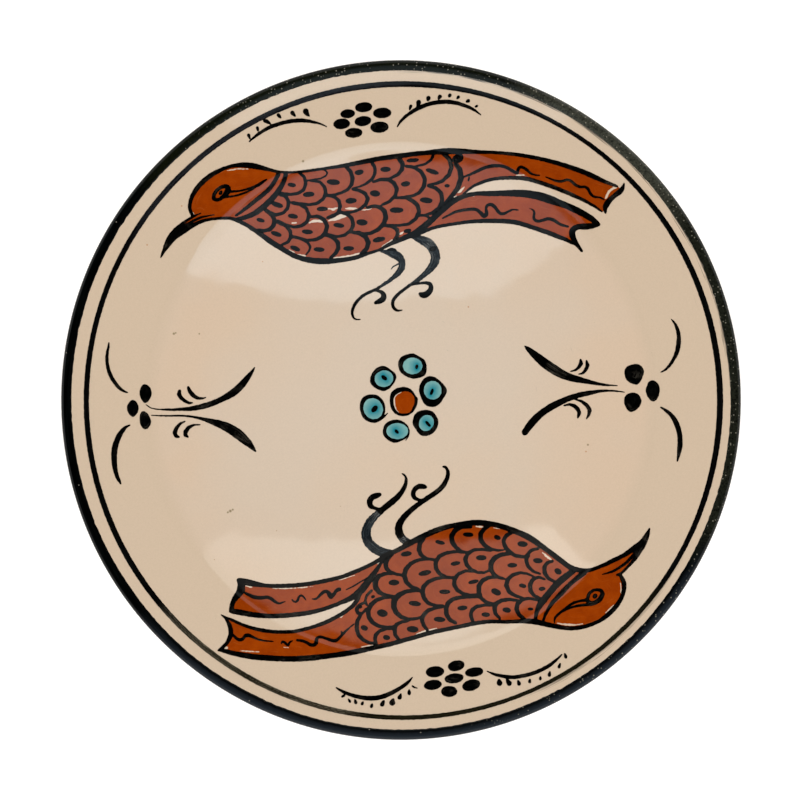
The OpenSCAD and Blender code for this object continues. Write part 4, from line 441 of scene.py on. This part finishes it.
def nearest(places, loops):
    """Distance from each place to the loops, and how far along them the nearest point is."""
    points = np.vstack(loops)
    run = []
    for loop in loops:
        steps = np.linalg.norm(loop - np.roll(loop, 1, axis=0), axis=1)
        run.append(np.cumsum(steps))
    run = np.concatenate(run)
    tree = kdtree.KDTree(len(points))
    for i, (x, y) in enumerate(points):
        tree.insert((x, y, 0.0), i)
    tree.balance()
    far = np.empty(len(places))
    along = np.empty(len(places))
    for i, (x, y) in enumerate(places):
        _, index, distance = tree.find((x, y, 0.0))
        far[i] = distance
        along[i] = run[index]
    return far, along


def filled(loops):
    """Points and triangles that fill the loops."""
    inner = row_fill(loops)
    if len(inner):
        far, _ = nearest(inner, loops)
        inner = inner[far > 0.45 * GRAIN]
    rim = np.vstack(loops)
    edges = []
    base = 0
    for loop in loops:
        n = len(loop)
        edges += [(base + i, base + (i + 1) % n) for i in range(n)]
        base += n
    # the mesher works in millimetres, where its tolerance suits the steps
    places = np.vstack([rim, inner]) / MM
    flat = [Vector((x, y)) for x, y in places]
    verts, _, tris, _, _, _ = delaunay_2d_cdt(flat, edges, [], 0, 1e-4)
    points = np.array([tuple(v) for v in verts]) * MM
    tris = np.array(tris)
    middle = points[tris].mean(axis=1)
    inside = winding(middle[:, 0], middle[:, 1], loops) != 0
    tris = tris[inside]
    used, packed = np.unique(tris, return_inverse=True)
    return points[used], packed.reshape(-1, 3)


def coat_mesh(name, points, tris, height):
    """Closed thin coat over the given flat triangles, lying on the face."""
    x, y = points[:, 0], points[:, 1]
    base = face_z(x, y)
    top = np.stack([x, y, base + height], axis=1)
    low = np.stack([x, y, base - SUNK], axis=1)
    n = len(points)
    faces = tris.tolist()
    flipped = (tris[:, ::-1] + n).tolist()
    edges = set()
    for t in faces:
        edges.update(((t[0], t[1]), (t[1], t[2]), (t[2], t[0])))
    walls = [[b, a, a + n, b + n] for a, b in edges if (b, a) not in edges]
    obj = new_piece(name, np.vstack([top, low]), faces + flipped + walls)
    up = face_normals(x, y)
    obj.data.normals_split_custom_set_from_vertices(np.vstack([up, up]).tolist())
    return obj


def mark(obj, name, values):
    """Stores one number per point for the materials to read. The underside repeats the top."""
    layer = obj.data.attributes.new(name, "FLOAT", "POINT")
    layer.data.foreach_set("value", np.concatenate([values, values]).astype(np.float32))


def coat(node, cover, material, slot, height, near=None):
    """Piece that stands for one painted CAD node."""
    loops = brushed(node, cover, "lines" if slot in ("black_line", "rim_black") else "fills")
    points, tris = filled(loops)
    obj = coat_mesh("painted_" + node, points, tris, height)
    far, along = nearest(points, loops)
    mark(obj, "edge", far / MM)
    mark(obj, "along", along / MM)
    if near:
        spot, _ = nearest(points, outlines(near))
        mark(obj, "near", spot / MM)
    return settle(obj, material, slot, node)


# ---------------------------------------------------------------- materials


def shader(name, roughness, specular=0.5):
    """New material with a plain Principled shader. Returns the material, its tree and the shader."""
    material = bpy.data.materials.new(name)
    material.use_nodes = True
    tree = material.node_tree
    bsdf = tree.nodes["Principled BSDF"]
    bsdf.inputs["Roughness"].default_value = roughness
    bsdf.inputs["Specular IOR Level"].default_value = specular
    return material, tree, bsdf


def add(tree, kind, links=None, **values):
    """New node with some inputs set and some linked."""
    node = tree.nodes.new(kind)
    for key, value in values.items():
        if hasattr(node, key):
            setattr(node, key, value)
    for key, source in (links or {}).items():
        if isinstance(source, bpy.types.NodeSocket):
            tree.links.new(source, node.inputs[key])
        else:
            node.inputs[key].default_value = source
    return node


def place(tree):
    """Object coordinates."""
    return add(tree, "ShaderNodeTexCoord").outputs["Object"]


def marked(tree, name):
    """A number stored on the mesh."""
    return add(tree, "ShaderNodeAttribute", attribute_name=name).outputs["Fac"]


def grainy(tree, vector, scale, detail):
    """Noise value, about 0.5 on average."""
    links = {"Vector": vector, "Scale": scale, "Detail": detail, "Roughness": 0.55}
    return add(tree, "ShaderNodeTexNoise", links).outputs["Fac"]


def sum_of(tree, operation, a, b=0.0):
    """Result of a Math node."""
    return add(tree, "ShaderNodeMath", {0: a, 1: b}, operation=operation).outputs[0]


def ramp(tree, value, low, high, to_low=0.0, to_high=1.0):
    """Value carried from the range low to high onto another range, held at its ends."""
    links = {"Value": value, "From Min": low, "From Max": high, "To Min": to_low, "To Max": to_high}
    return add(tree, "ShaderNodeMapRange", links).outputs["Result"]


def blend(tree, factor, a, b):
    """Colour a where the factor is 0, and colour b where it is 1."""
    node = add(tree, "ShaderNodeMix", data_type="RGBA")
    for socket, value in ((node.inputs[0], factor), (node.inputs[6], a), (node.inputs[7], b)):
        if isinstance(value, bpy.types.NodeSocket):
            tree.links.new(value, socket)
        elif socket.type == "RGBA":
            socket.default_value = (*value, 1.0)
        else:
            socket.default_value = value
    return node.outputs[2]


def dots(tree, vector, scale, size, share):
    """1 on small scattered dots: cells per metre, dot size in cells and share of cells with a dot."""
    cells = add(tree, "ShaderNodeTexVoronoi", {"Vector": vector, "Scale": scale})
    chosen = add(tree, "ShaderNodeSeparateColor", {"Color": cells.outputs["Color"]})
    here = ramp(tree, cells.outputs["Distance"], size, size * 0.5)
    picked = sum_of(tree, "LESS_THAN", chosen.outputs["Red"], share)
    return sum_of(tree, "MULTIPLY", here, picked)


def bearing(tree, here):
    """Angle round the axis in degrees, from -180 to 180, and 0 along X."""
    parts = add(tree, "ShaderNodeSeparateXYZ", {0: here})
    turn = sum_of(tree, "ARCTAN2", parts.outputs["Y"], parts.outputs["X"])
    return sum_of(tree, "MULTIPLY", turn, 180 / math.pi)


def stretch(tree, turn, start, stop, fade):
    """1 round the dish from start to stop degrees, fading out beyond both ends."""
    rise = ramp(tree, turn, start - fade, start)
    fall = ramp(tree, turn, stop + fade, stop)
    return sum_of(tree, "MULTIPLY", rise, fall)


def dry_hairs(tree, turn, away, start, stop, radius, reach):
    """Hair marks of a dry brush dragged round the dish at a radius, thinning out to both sides."""
    around = sum_of(tree, "MULTIPLY", turn, 0.14)
    across = sum_of(tree, "MULTIPLY", away, 2600.0)
    hairs = grainy(tree, add(tree, "ShaderNodeCombineXYZ", {"X": around, "Y": across}).outputs[0], 1.0, 2.0)
    off = sum_of(tree, "ABSOLUTE", sum_of(tree, "SUBTRACT", away, radius))
    level = sum_of(tree, "ADD", hairs, ramp(tree, off, reach, 0.0, 0.0, 0.45))
    return sum_of(tree, "MULTIPLY", ramp(tree, level, 0.72, 0.92), stretch(tree, turn, start, stop, 8.0))


def glossy_bump(tree, bsdf, vector):
    """Faint unevenness that all the glazed surfaces share."""
    height = grainy(tree, vector, 45.0, 2.0)
    links = {"Height": height, "Strength": 0.03, "Distance": 0.004}
    tree.links.new(add(tree, "ShaderNodeBump", links).outputs["Normal"], bsdf.inputs["Normal"])


def glazed(material, tree, bsdf, colour, here):
    """The material with its colour linked and the unevenness that all the glazed surfaces share."""
    tree.links.new(colour, bsdf.inputs["Base Color"])
    glossy_bump(tree, bsdf, here)
    return material


CREAM = (0.662, 0.530, 0.408)
CREAM_WARM = (0.675, 0.518, 0.380)
CREAM_PALE = (0.650, 0.535, 0.420)
# painted shade on the left and right flanks of the well
CREAM_SHADED_PEACH = (0.690, 0.510, 0.362)
# painted shade: the cream towards the rim and past the crease
CREAM_SHADED_EDGE = (0.622, 0.478, 0.343)
GLAZE_ROUGH = 0.06
CREAM_SHINE = 0.9
ORANGE_SHINE = 0.5
BLACK_SHINE = 0.18
HAIR_TINT = (0.03, 0.03, 0.025)
HAIRS = (  # dry brush marks on the cream: start and stop in degrees, radius, reach and strength
    (8.0, 84.0, 121.2 * MM, 1.6 * MM, 0.85),
    (-60.0, -36.0, 117.9 * MM, 1.9 * MM, 0.6),
    (-138.0, -110.0, 116.2 * MM, 1.5 * MM, 0.4),
)
SPECK_TINTS = {"rust": (0.45, 0.17, 0.06), "olive": (0.16, 0.12, 0.04)}
SPECKS = (  # specks that came up in the glaze: x, y and size in millimetres
    (-80.6, 71.3, 0.4, "rust"),
    (-93.3, 57.0, 0.4, "rust"),
    (-36.0, 87.8, 0.6, "olive"),
    (24.9, 34.4, 0.4, "rust"),
    (-83.6, 24.4, 0.6, "olive"),
    (-82.9, 24.7, 0.4, "olive"),
    (-74.3, 24.4, 0.4, "olive"),
    (68.9, -16.5, 0.5, "olive"),
    (68.2, -19.0, 0.4, "rust"),
    (-51.0, 51.0, 0.3, "rust"),
    (-63.8, -41.4, 0.5, "olive"),
    (-62.9, -40.9, 0.7, "olive"),
    (-62.0, -40.4, 0.5, "olive"),
)


def cream_glaze():
    """Cream glaze with slow warm clouds, fine grain and a few iron specks, and painted shade: peachier on
    the well's left and right flanks and darker towards the rim.
    """
    material, tree, bsdf = shader("cream_glaze", GLAZE_ROUGH, CREAM_SHINE)
    here = place(tree)
    warm = ramp(tree, grainy(tree, here, 14.0, 2.0), 0.42, 0.66)
    pale = ramp(tree, grainy(tree, here, 31.0, 3.0), 0.5, 0.75, 0.0, 0.6)
    fine = ramp(tree, grainy(tree, here, 1600.0, 2.0), 0.3, 0.7, 0.97, 1.02)
    colour = blend(tree, warm, CREAM, CREAM_WARM)
    colour = blend(tree, pale, colour, CREAM_PALE)
    flat = add(tree, "ShaderNodeVectorMath", {0: here, 1: (1.0, 1.0, 0.0)}, operation="MULTIPLY")
    away = add(tree, "ShaderNodeVectorMath", {0: flat.outputs[0]}, operation="LENGTH").outputs["Value"]
    # painted shade: the left and right flanks of the well are tinted peach in clouds
    sideways = add(tree, "ShaderNodeSeparateXYZ", {0: here}).outputs["X"]
    shaded_flank = ramp(tree, sum_of(tree, "ABSOLUTE", sideways), 0.040, 0.075, 0.0, 0.8)
    cloud = ramp(tree, grainy(tree, here, 24.0, 2.0), 0.35, 0.6)
    colour = blend(tree, sum_of(tree, "MULTIPLY", shaded_flank, cloud), colour, CREAM_SHADED_PEACH)
    # painted shade: the cream darkens from the centre outward and steps browner past the crease onto the rim
    colour = blend(tree, ramp(tree, away, 0.030, 0.088, 0.0, 0.25), colour, CREAM_SHADED_EDGE)
    colour = blend(tree, ramp(tree, away, 0.0885, 0.0935, 0.0, 0.9), colour, CREAM_SHADED_EDGE)
    shade = add(tree, "ShaderNodeVectorMath", {0: colour, "Scale": fine}, operation="SCALE")
    colour = shade.outputs[0]
    iron = dots(tree, here, 130.0, 0.035, 0.12)
    colour = blend(tree, sum_of(tree, "MULTIPLY", iron, 0.6), colour, (0.30, 0.13, 0.05))
    dust = dots(tree, here, 380.0, 0.07, 0.10)
    colour = blend(tree, sum_of(tree, "MULTIPLY", dust, 0.22), colour, (0.25, 0.18, 0.12))
    for x, y, size, tint in SPECKS:
        ends = {0: flat.outputs[0], 1: (x * MM, y * MM, 0.0)}
        gap = add(tree, "ShaderNodeVectorMath", ends, operation="DISTANCE")
        near = ramp(tree, gap.outputs["Value"], size * MM, size * MM / 3)
        colour = blend(tree, sum_of(tree, "MULTIPLY", near, 0.8), colour, SPECK_TINTS[tint])
    turn = bearing(tree, here)
    for start, stop, radius, reach, strength in HAIRS:
        hairs = dry_hairs(tree, turn, away, start, stop, radius, reach)
        colour = blend(tree, sum_of(tree, "MULTIPLY", hairs, strength), colour, HAIR_TINT)
    return glazed(material, tree, bsdf, colour, here)


def bare_clay():
    """Bare fired clay of the foot ring, with turning lines and grog."""
    material, tree, bsdf = shader("bare_clay", 0.85, 0.3)
    here = place(tree)
    cloud = grainy(tree, here, 60.0, 5.0)
    colour = blend(tree, cloud, (0.50, 0.30, 0.17), (0.66, 0.44, 0.28))
    grog = dots(tree, here, 700.0, 0.2, 0.25)
    colour = blend(tree, sum_of(tree, "MULTIPLY", grog, 0.5), colour, (0.28, 0.15, 0.08))
    tree.links.new(colour, bsdf.inputs["Base Color"])
    rings = add(
        tree,
        "ShaderNodeTexWave",
        {"Vector": here, "Scale": 180.0, "Distortion": 0.4, "Detail": 2.0},
        wave_type="RINGS",
        rings_direction="Z",
    )
    bump = add(tree, "ShaderNodeBump", {"Height": rings.outputs["Fac"], "Strength": 0.3, "Distance": 0.0004})
    tree.links.new(bump.outputs["Normal"], bsdf.inputs["Normal"])
    return material


def stroke_streaks(tree, length, width):
    """Noise drawn out along the strokes: streak length and width in millimetres."""
    along = sum_of(tree, "DIVIDE", marked(tree, "along"), length)
    across = sum_of(tree, "DIVIDE", marked(tree, "edge"), width)
    streak = add(tree, "ShaderNodeCombineXYZ", {"X": along, "Y": across})
    return grainy(tree, streak.outputs[0], 1.0, 2.0)


def brush_black(name, deep, thin, dry):
    """Black brush line: deep pigment, thinner streaks along the stroke and dry spots."""
    material, tree, bsdf = shader(name, GLAZE_ROUGH, BLACK_SHINE)
    here = place(tree)
    streaks = stroke_streaks(tree, 5.0, 0.5)
    colour = blend(tree, ramp(tree, streaks, 0.48, 0.72), deep, thin)
    patch = grainy(tree, here, 120.0, 3.0)
    worn = sum_of(tree, "MULTIPLY", ramp(tree, patch, 0.52, 0.72), ramp(tree, streaks, 0.45, 0.65))
    colour = blend(tree, sum_of(tree, "MULTIPLY", worn, 0.75), colour, dry)
    return glazed(material, tree, bsdf, colour, here)


def orange_brown():
    """Orange-brown wash with mottled pigment and faint brush streaks."""
    material, tree, bsdf = shader("orange_brown", GLAZE_ROUGH, ORANGE_SHINE)
    here = place(tree)
    mottle = grainy(tree, here, 260.0, 4.0)
    cloud = grainy(tree, here, 45.0, 2.0)
    colour = blend(tree, ramp(tree, mottle, 0.3, 0.7), (0.250, 0.031, 0.0004), (0.325, 0.047, 0.001))
    colour = blend(tree, ramp(tree, cloud, 0.4, 0.7, 0.0, 0.5), colour, (0.200, 0.024, 0.0004))
    streaks = stroke_streaks(tree, 9.0, 0.45)
    colour = blend(tree, ramp(tree, streaks, 0.58, 0.8, 0.0, 0.5), colour, (0.40, 0.10, 0.02))
    return glazed(material, tree, bsdf, colour, here)


def turquoise():
    """Thin turquoise wash, stained deeper round the dot of each petal."""
    material, tree, bsdf = shader("turquoise", GLAZE_ROUGH)
    here = place(tree)
    wobble = sum_of(tree, "MULTIPLY", grainy(tree, here, 500.0, 3.0), 1.4)
    reach = sum_of(tree, "ADD", marked(tree, "near"), wobble)
    stain = ramp(tree, reach, 3.6, 0.8)
    colour = blend(tree, stain, (0.205, 0.400, 0.375), (0.006, 0.190, 0.235))
    pool = ramp(tree, grainy(tree, here, 160.0, 2.0), 0.45, 0.7, 0.0, 0.4)
    colour = blend(tree, pool, colour, (0.10, 0.33, 0.34))
    return glazed(material, tree, bsdf, colour, here)


RING_RUNS = (  # where the ring ran thin: start, stop and fade in degrees, deep and thin colour
    (96.0, 142.0, 8.0, (0.004, 0.004, 0.005), (0.022, 0.023, 0.026)),
    (-100.0, -42.0, 8.0, (0.004, 0.003, 0.001), (0.018, 0.016, 0.008)),
    (-132.0, -104.0, 8.0, (0.012, 0.010, 0.005), (0.12, 0.10, 0.07)),
)
BAND_RUNS = (  # greenish runs of the band: start, stop and fade in degrees, and colour
    (-22.0, 68.0, 8.0, (0.013, 0.014, 0.009)),
    (40.0, 62.0, 9.0, (0.046, 0.046, 0.034)),
    (76.0, 136.0, 6.0, (0.005, 0.006, 0.002)),
)


def lining_black():
    """Black of the lining ring: slate at the upper left, olive at the bottom and brown at the lower left."""
    material, tree, bsdf = shader("lining_black", GLAZE_ROUGH, BLACK_SHINE)
    here = place(tree)
    turn = bearing(tree, here)
    thin = ramp(tree, stroke_streaks(tree, 12.0, 0.45), 0.42, 0.66)
    colour = blend(tree, thin, (0.0003, 0.0003, 0.0003), (0.004, 0.004, 0.004))
    for start, stop, fade, deep, pale in RING_RUNS:
        run = blend(tree, thin, deep, pale)
        colour = blend(tree, stretch(tree, turn, start, stop, fade), colour, run)
    return glazed(material, tree, bsdf, colour, here)


def band_black():
    """Black of the rim, brushed round on the wheel: greenish at the right, and a painted bluish reflection
    across the middle of the band at the bottom.
    """
    material, tree, bsdf = shader("band_black", 0.10, 0.2)
    here = place(tree)
    turn = bearing(tree, here)
    streaks = stroke_streaks(tree, 16.0, 0.7)
    colour = blend(tree, ramp(tree, streaks, 0.45, 0.75), (0.0003, 0.0004, 0.0004), (0.002, 0.003, 0.003))
    fine = ramp(tree, grainy(tree, here, 1400.0, 3.0), 0.3, 0.7, 0.1, 1.3)
    for start, stop, fade, tint in BAND_RUNS:
        run = sum_of(tree, "MULTIPLY", stretch(tree, turn, start, stop, fade), fine)
        colour = blend(tree, run, colour, tint)
    # painted reflection: a lighter bluish strip across the middle of the band at the bottom
    middle = ramp(tree, marked(tree, "edge"), 0.7, 2.2)
    painted_blue_reflection = sum_of(tree, "MULTIPLY", stretch(tree, turn, -128.0, -38.0, 14.0), middle)
    colour = blend(tree, painted_blue_reflection, colour, (0.012, 0.015, 0.019))
    pitted = stretch(tree, turn, -60.0, 110.0, 20.0)
    pits = sum_of(tree, "MULTIPLY", dots(tree, here, 1050.0, 0.32, 0.3), pitted)
    colour = blend(tree, sum_of(tree, "MULTIPLY", pits, 0.8), colour, (0.24, 0.22, 0.17))
    holes = dots(tree, here, 430.0, 0.12, 0.16)
    colour = blend(tree, sum_of(tree, "MULTIPLY", holes, 0.6), colour, (0.34, 0.30, 0.24))
    return glazed(material, tree, bsdf, colour, here)


# ---------------------------------------------------------------- dish pieces


def clay_dish():
    """The clay, of which only the foot ring is seen."""
    foot = [
        (0.0, HOLLOW_Z),
        (FOOT_IN - 2 * MM, HOLLOW_Z + HOLLOW_RISE),
        (FOOT_IN - 0.4 * MM, HOLLOW_Z + 0.6 * MM),
        (FOOT_IN + 0.3 * MM, 1.2 * MM),
        (FOOT_IN + 0.9 * MM, 0.25 * MM),
        (FOOT_IN + 1.8 * MM, 0.0),
        (FOOT_R - 1.6 * MM, 0.0),
        (FOOT_R - 0.5 * MM, 0.3 * MM),
        (FOOT_R, 1.1 * MM),
        (FOOT_R, 3.5 * MM),
    ]
    return spin("clay_dish", foot[:-1] + outside(0.0, foot[-1]))


def glaze_skin():
    """Cream glaze over the face, the lip and the back, down to the foot ring."""
    outer = [(FOOT_R - 0.1 * MM, 2.0 * MM), (FOOT_R + 0.25 * MM, 2.15 * MM)]
    outer += outside(GLAZE, (FOOT_R + GLAZE, 2.7 * MM))
    inner = outside(-0.3 * MM, (FOOT_R - 0.3 * MM, 2.7 * MM))
    return spin("glaze_skin", outer + inner[::-1])


def hollow_skin():
    """Cream glaze inside the foot ring."""
    reach = FOOT_IN - 2 * MM
    radii = [reach * i / 24 for i in range(25)]
    low = [(r, HOLLOW_Z - GLAZE + HOLLOW_RISE * r / reach) for r in radii]
    edge = [(reach + 0.3 * MM, HOLLOW_Z + HOLLOW_RISE - GLAZE / 2)]
    high = [(r, HOLLOW_Z + 0.2 * MM + HOLLOW_RISE * r / reach) for r in reversed(radii)]
    return spin("hollow_skin", low + edge + high)


BAND_SIDES = 1440
BAND_ROWS = 8  # rows between the ragged edge of the band and its even part


def band_edge(a):
    """Radius of the band's inner edge at angle a: it wanders a little and is nicked here and there."""
    around = Vector((math.cos(a), math.sin(a), 0.0))
    slow = noise.noise(around * 3.0) * 0.25
    quick = noise.noise(around * 75.0) * 0.16
    nick = max(0.0, noise.noise(around * 28.0 + Vector((5, 0, 0))) - 0.35) * 0.8
    return BAND_R + (slow + quick + nick) * MM


def band_piece():
    """Dark band from its ragged inner edge over the lip to the back of the rim."""
    shared = BAND_R + 1.4 * MM
    lip = lip_points(GLAZE + BAND_H)[::-1]
    lip = [p for p in lip if p[0] > shared or p[1] < LIP_Z]
    verts = []
    edge = []
    along = []
    for i in range(BAND_SIDES):
        a = 2 * math.pi * i / BAND_SIDES
        start = band_edge(a)
        rows = []
        for k in range(BAND_ROWS):
            t = k / BAND_ROWS
            r = start + (shared - start) * t
            lift = BAND_H * (0.25 + 0.75 * min(1.0, t * 4))
            rows.append((r, float(true_face(r, GLAZE)) + lift))
        run = 0.0
        last = rows[0]
        for r, z in rows + lip:
            run += math.hypot(r - last[0], z - last[1])
            last = (r, z)
            verts.append((r * math.cos(a), r * math.sin(a), z))
            edge.append(run / MM)
            along.append(a * PLATE_R / MM)
    xyz = np.array(verts)
    xyz[:, 2] = thrown(xyz[:, 0], xyz[:, 1], xyz[:, 2])
    count = BAND_ROWS + len(lip)
    grid = xyz.reshape(BAND_SIDES, count, 3)
    across = np.gradient(grid, axis=1)
    around = np.roll(grid, -1, axis=0) - np.roll(grid, 1, axis=0)
    out = np.cross(around, across)
    out /= np.linalg.norm(out, axis=2)[:, :, None]
    out *= np.sign(out[:, :1, 2:3])
    low = (grid - out * (BAND_H + SUNK)).reshape(-1, 3)
    n = len(xyz)
    faces = []
    for i in range(BAND_SIDES):
        j = (i + 1) % BAND_SIDES
        for k in range(count - 1):
            quad = [i * count + k, i * count + k + 1, j * count + k + 1, j * count + k]
            faces.append(quad)
            faces.append([v + n for v in reversed(quad)])
        for k in (0, count - 1):
            wall = [i * count + k, j * count + k, j * count + k + n, i * count + k + n]
            faces.append(wall if k == 0 else wall[::-1])
    obj = new_piece("rim_band_coat", np.vstack([xyz, low]), faces)
    mark(obj, "edge", np.array(edge))
    mark(obj, "along", np.array(along))
    return obj


# ---------------------------------------------------------------- build

glaze = cream_glaze()
clay = bare_clay()
settle(clay_dish(), clay, "clay", "clay_body")
settle(glaze_skin(), glaze, "cream_glaze", "glaze_coat")
settle(hollow_skin(), glaze, "cream_glaze", "foot_hollow_glaze")
band = band_black()
settle(band_piece(), band, "rim_black", "rim_band")

slots = {row["node"]: row["material_slot"] for row in frame["record"]["subparts"]}
painted = [n for n in slots if n not in ("clay_body", "glaze_coat", "foot_hollow_glaze", "rim_band")]
darks = [n for n in painted if slots[n] in ("black_line", "grey_wash")]
LINE_TINTS = ((0.0003, 0.0003, 0.0003), (0.004, 0.004, 0.0035), (0.060, 0.052, 0.040))
WASH_TINTS = ((0.007, 0.009, 0.011), (0.045, 0.056, 0.062), (0.24, 0.23, 0.21))
paints = {
    "black_line": brush_black("black_line", *LINE_TINTS),
    "grey_wash": brush_black("grey_wash", *WASH_TINTS),
    "rim_black": lining_black(),
    "orange_brown": orange_brown(),
    "turquoise": turquoise(),
}
heights = {
    "orange_brown": WASH_H,
    "turquoise": WASH_H,
    "grey_wash": GREY_H,
    "black_line": LINE_H,
    "rim_black": LINE_H,
}
cover = Cover(darks)
for node in painted:
    slot = slots[node]
    near = "flower_petal_pips" if slot == "turquoise" else None
    coat(node, cover, paints[slot], slot, heights[slot], near=near)

# ---------------------------------------------------------------- floor, lights and camera

FLOOR_REACH = 6.0
FLOOR_GLOW = 0.35
LAMP_H = 1.21
CEILING_FROM = 0.79  # height on the unit sphere at which the dark ceiling starts
CEILING_TO = 0.82  # height from which the ceiling is fully dark
CEILING_LIGHT = 0.005
WALL_LIGHT = 1.71
CAMERA_H = 2.6
SENSOR = 36.0
PLATE_SHARE = 0.85125  # part of the picture's width that the plate takes
OFF_AXIS = 0.00125  # how far the camera stands off the axis, in widths of the picture


def pale_floor():
    """Matt white floor with the faintest unevenness."""
    material, tree, bsdf = shader("floor_white", 0.8, 0.2)
    tone = ramp(tree, grainy(tree, place(tree), 3.0, 2.0), 0.3, 0.7, 0.88, 0.92)
    grey = add(tree, "ShaderNodeCombineColor", {"Red": tone, "Green": tone, "Blue": tone})
    tree.links.new(grey.outputs[0], bsdf.inputs["Base Color"])
    bsdf.inputs["Emission Color"].default_value = (1.0, 1.0, 1.0, 1.0)
    bsdf.inputs["Emission Strength"].default_value = FLOOR_GLOW
    corners = np.array([(-1, -1, 0), (1, -1, 0), (1, 1, 0), (-1, 1, 0)]) * FLOOR_REACH
    floor = new_piece("floor", corners, [[0, 1, 2, 3]])
    floor.data.materials.append(material)


def glow_panel(name, outline, tint, heading, reach, levels):
    """Flat softbox overhead. Its glow goes from one level to the other over a reach along a heading."""
    material = bpy.data.materials.new(name)
    material.use_nodes = True
    tree = material.node_tree
    tree.nodes.clear()
    along = add(tree, "ShaderNodeVectorMath", {0: place(tree), 1: heading}, operation="DOT_PRODUCT")
    level = ramp(tree, along.outputs["Value"], *reach, *levels)
    light = add(tree, "ShaderNodeEmission", {"Strength": level, "Color": (*tint, 1.0)})
    out = add(tree, "ShaderNodeOutputMaterial")
    tree.links.new(light.outputs[0], out.inputs["Surface"])
    corners = np.array([(x, y, LAMP_H) for x, y in outline])
    panel = new_piece(name, corners, [list(range(len(corners)))])
    panel.data.materials.append(material)
    panel.visible_camera = False
    panel.visible_shadow = False


def pale_room():
    """World with a dark ceiling, pale walls all round and a dimmer horizon."""
    world = bpy.data.worlds.new("room")
    world.use_nodes = True
    tree = world.node_tree
    up = add(tree, "ShaderNodeSeparateXYZ", {0: add(tree, "ShaderNodeTexCoord").outputs["Generated"]})
    wall = ramp(tree, up.outputs["Z"], CEILING_TO, CEILING_FROM)
    low = ramp(tree, up.outputs["Z"], 0.05, 0.4, 0.3, 1.0)
    tone = sum_of(tree, "MULTIPLY", wall, low)
    colour = blend(tree, tone, (CEILING_LIGHT,) * 3, (WALL_LIGHT,) * 3)
    tree.links.new(colour, tree.nodes["Background"].inputs["Color"])
    bpy.context.scene.world = world


def long_lens():
    """Camera straight above the plate, far enough for a flat view."""
    framed = 2 * PLATE_R / PLATE_SHARE
    data = bpy.data.cameras.new("camera")
    data.sensor_width = SENSOR
    data.lens = SENSOR * (CAMERA_H - cad_box[1].z) / framed
    data.clip_end = 50
    camera = bpy.data.objects.new("camera", data)
    camera.location = (-framed * OFF_AXIS, 0.0, CAMERA_H)
    bpy.context.scene.collection.objects.link(camera)
    bpy.context.scene.camera = camera


pale_floor()
glow_panel(
    "front_panel",
    [
        (0.27, -0.26),
        (0.65, -0.37),
        (0.52, -0.48),
        (0.40, -0.57),
        (0.20, -0.65),
        (-0.24, -0.65),
        (-0.35, -0.61),
        (-0.50, -0.50),
        (-0.40, -0.42),
        (-0.33, -0.34),
        (-0.22, -0.26),
        (0.12, -0.25),
    ],
    (0.80, 0.98, 1.10),
    (0.3, -1.0, 0.0),
    (0.3, 0.75),
    (1.0, 1.6),
)
glow_panel(
    "back_panel",
    [
        (0.60, 0.44),
        (0.46, 0.36),
        (-0.24, 0.36),
        (-0.33, 0.335),
        (-0.385, 0.33),
        (-0.53, 0.48),
        (-0.40, 0.58),
        (0.0, 0.69),
        (0.12, 0.68),
        (0.30, 0.63),
        (0.48, 0.52),
    ],
    (1.0, 1.0, 0.95),
    (-1.0, 0.0, 0.0),
    (-0.5, 0.4),
    (0.85, 1.35),
)
pale_room()
long_lens()
bpy.context.scene.view_settings.view_transform = "Standard"
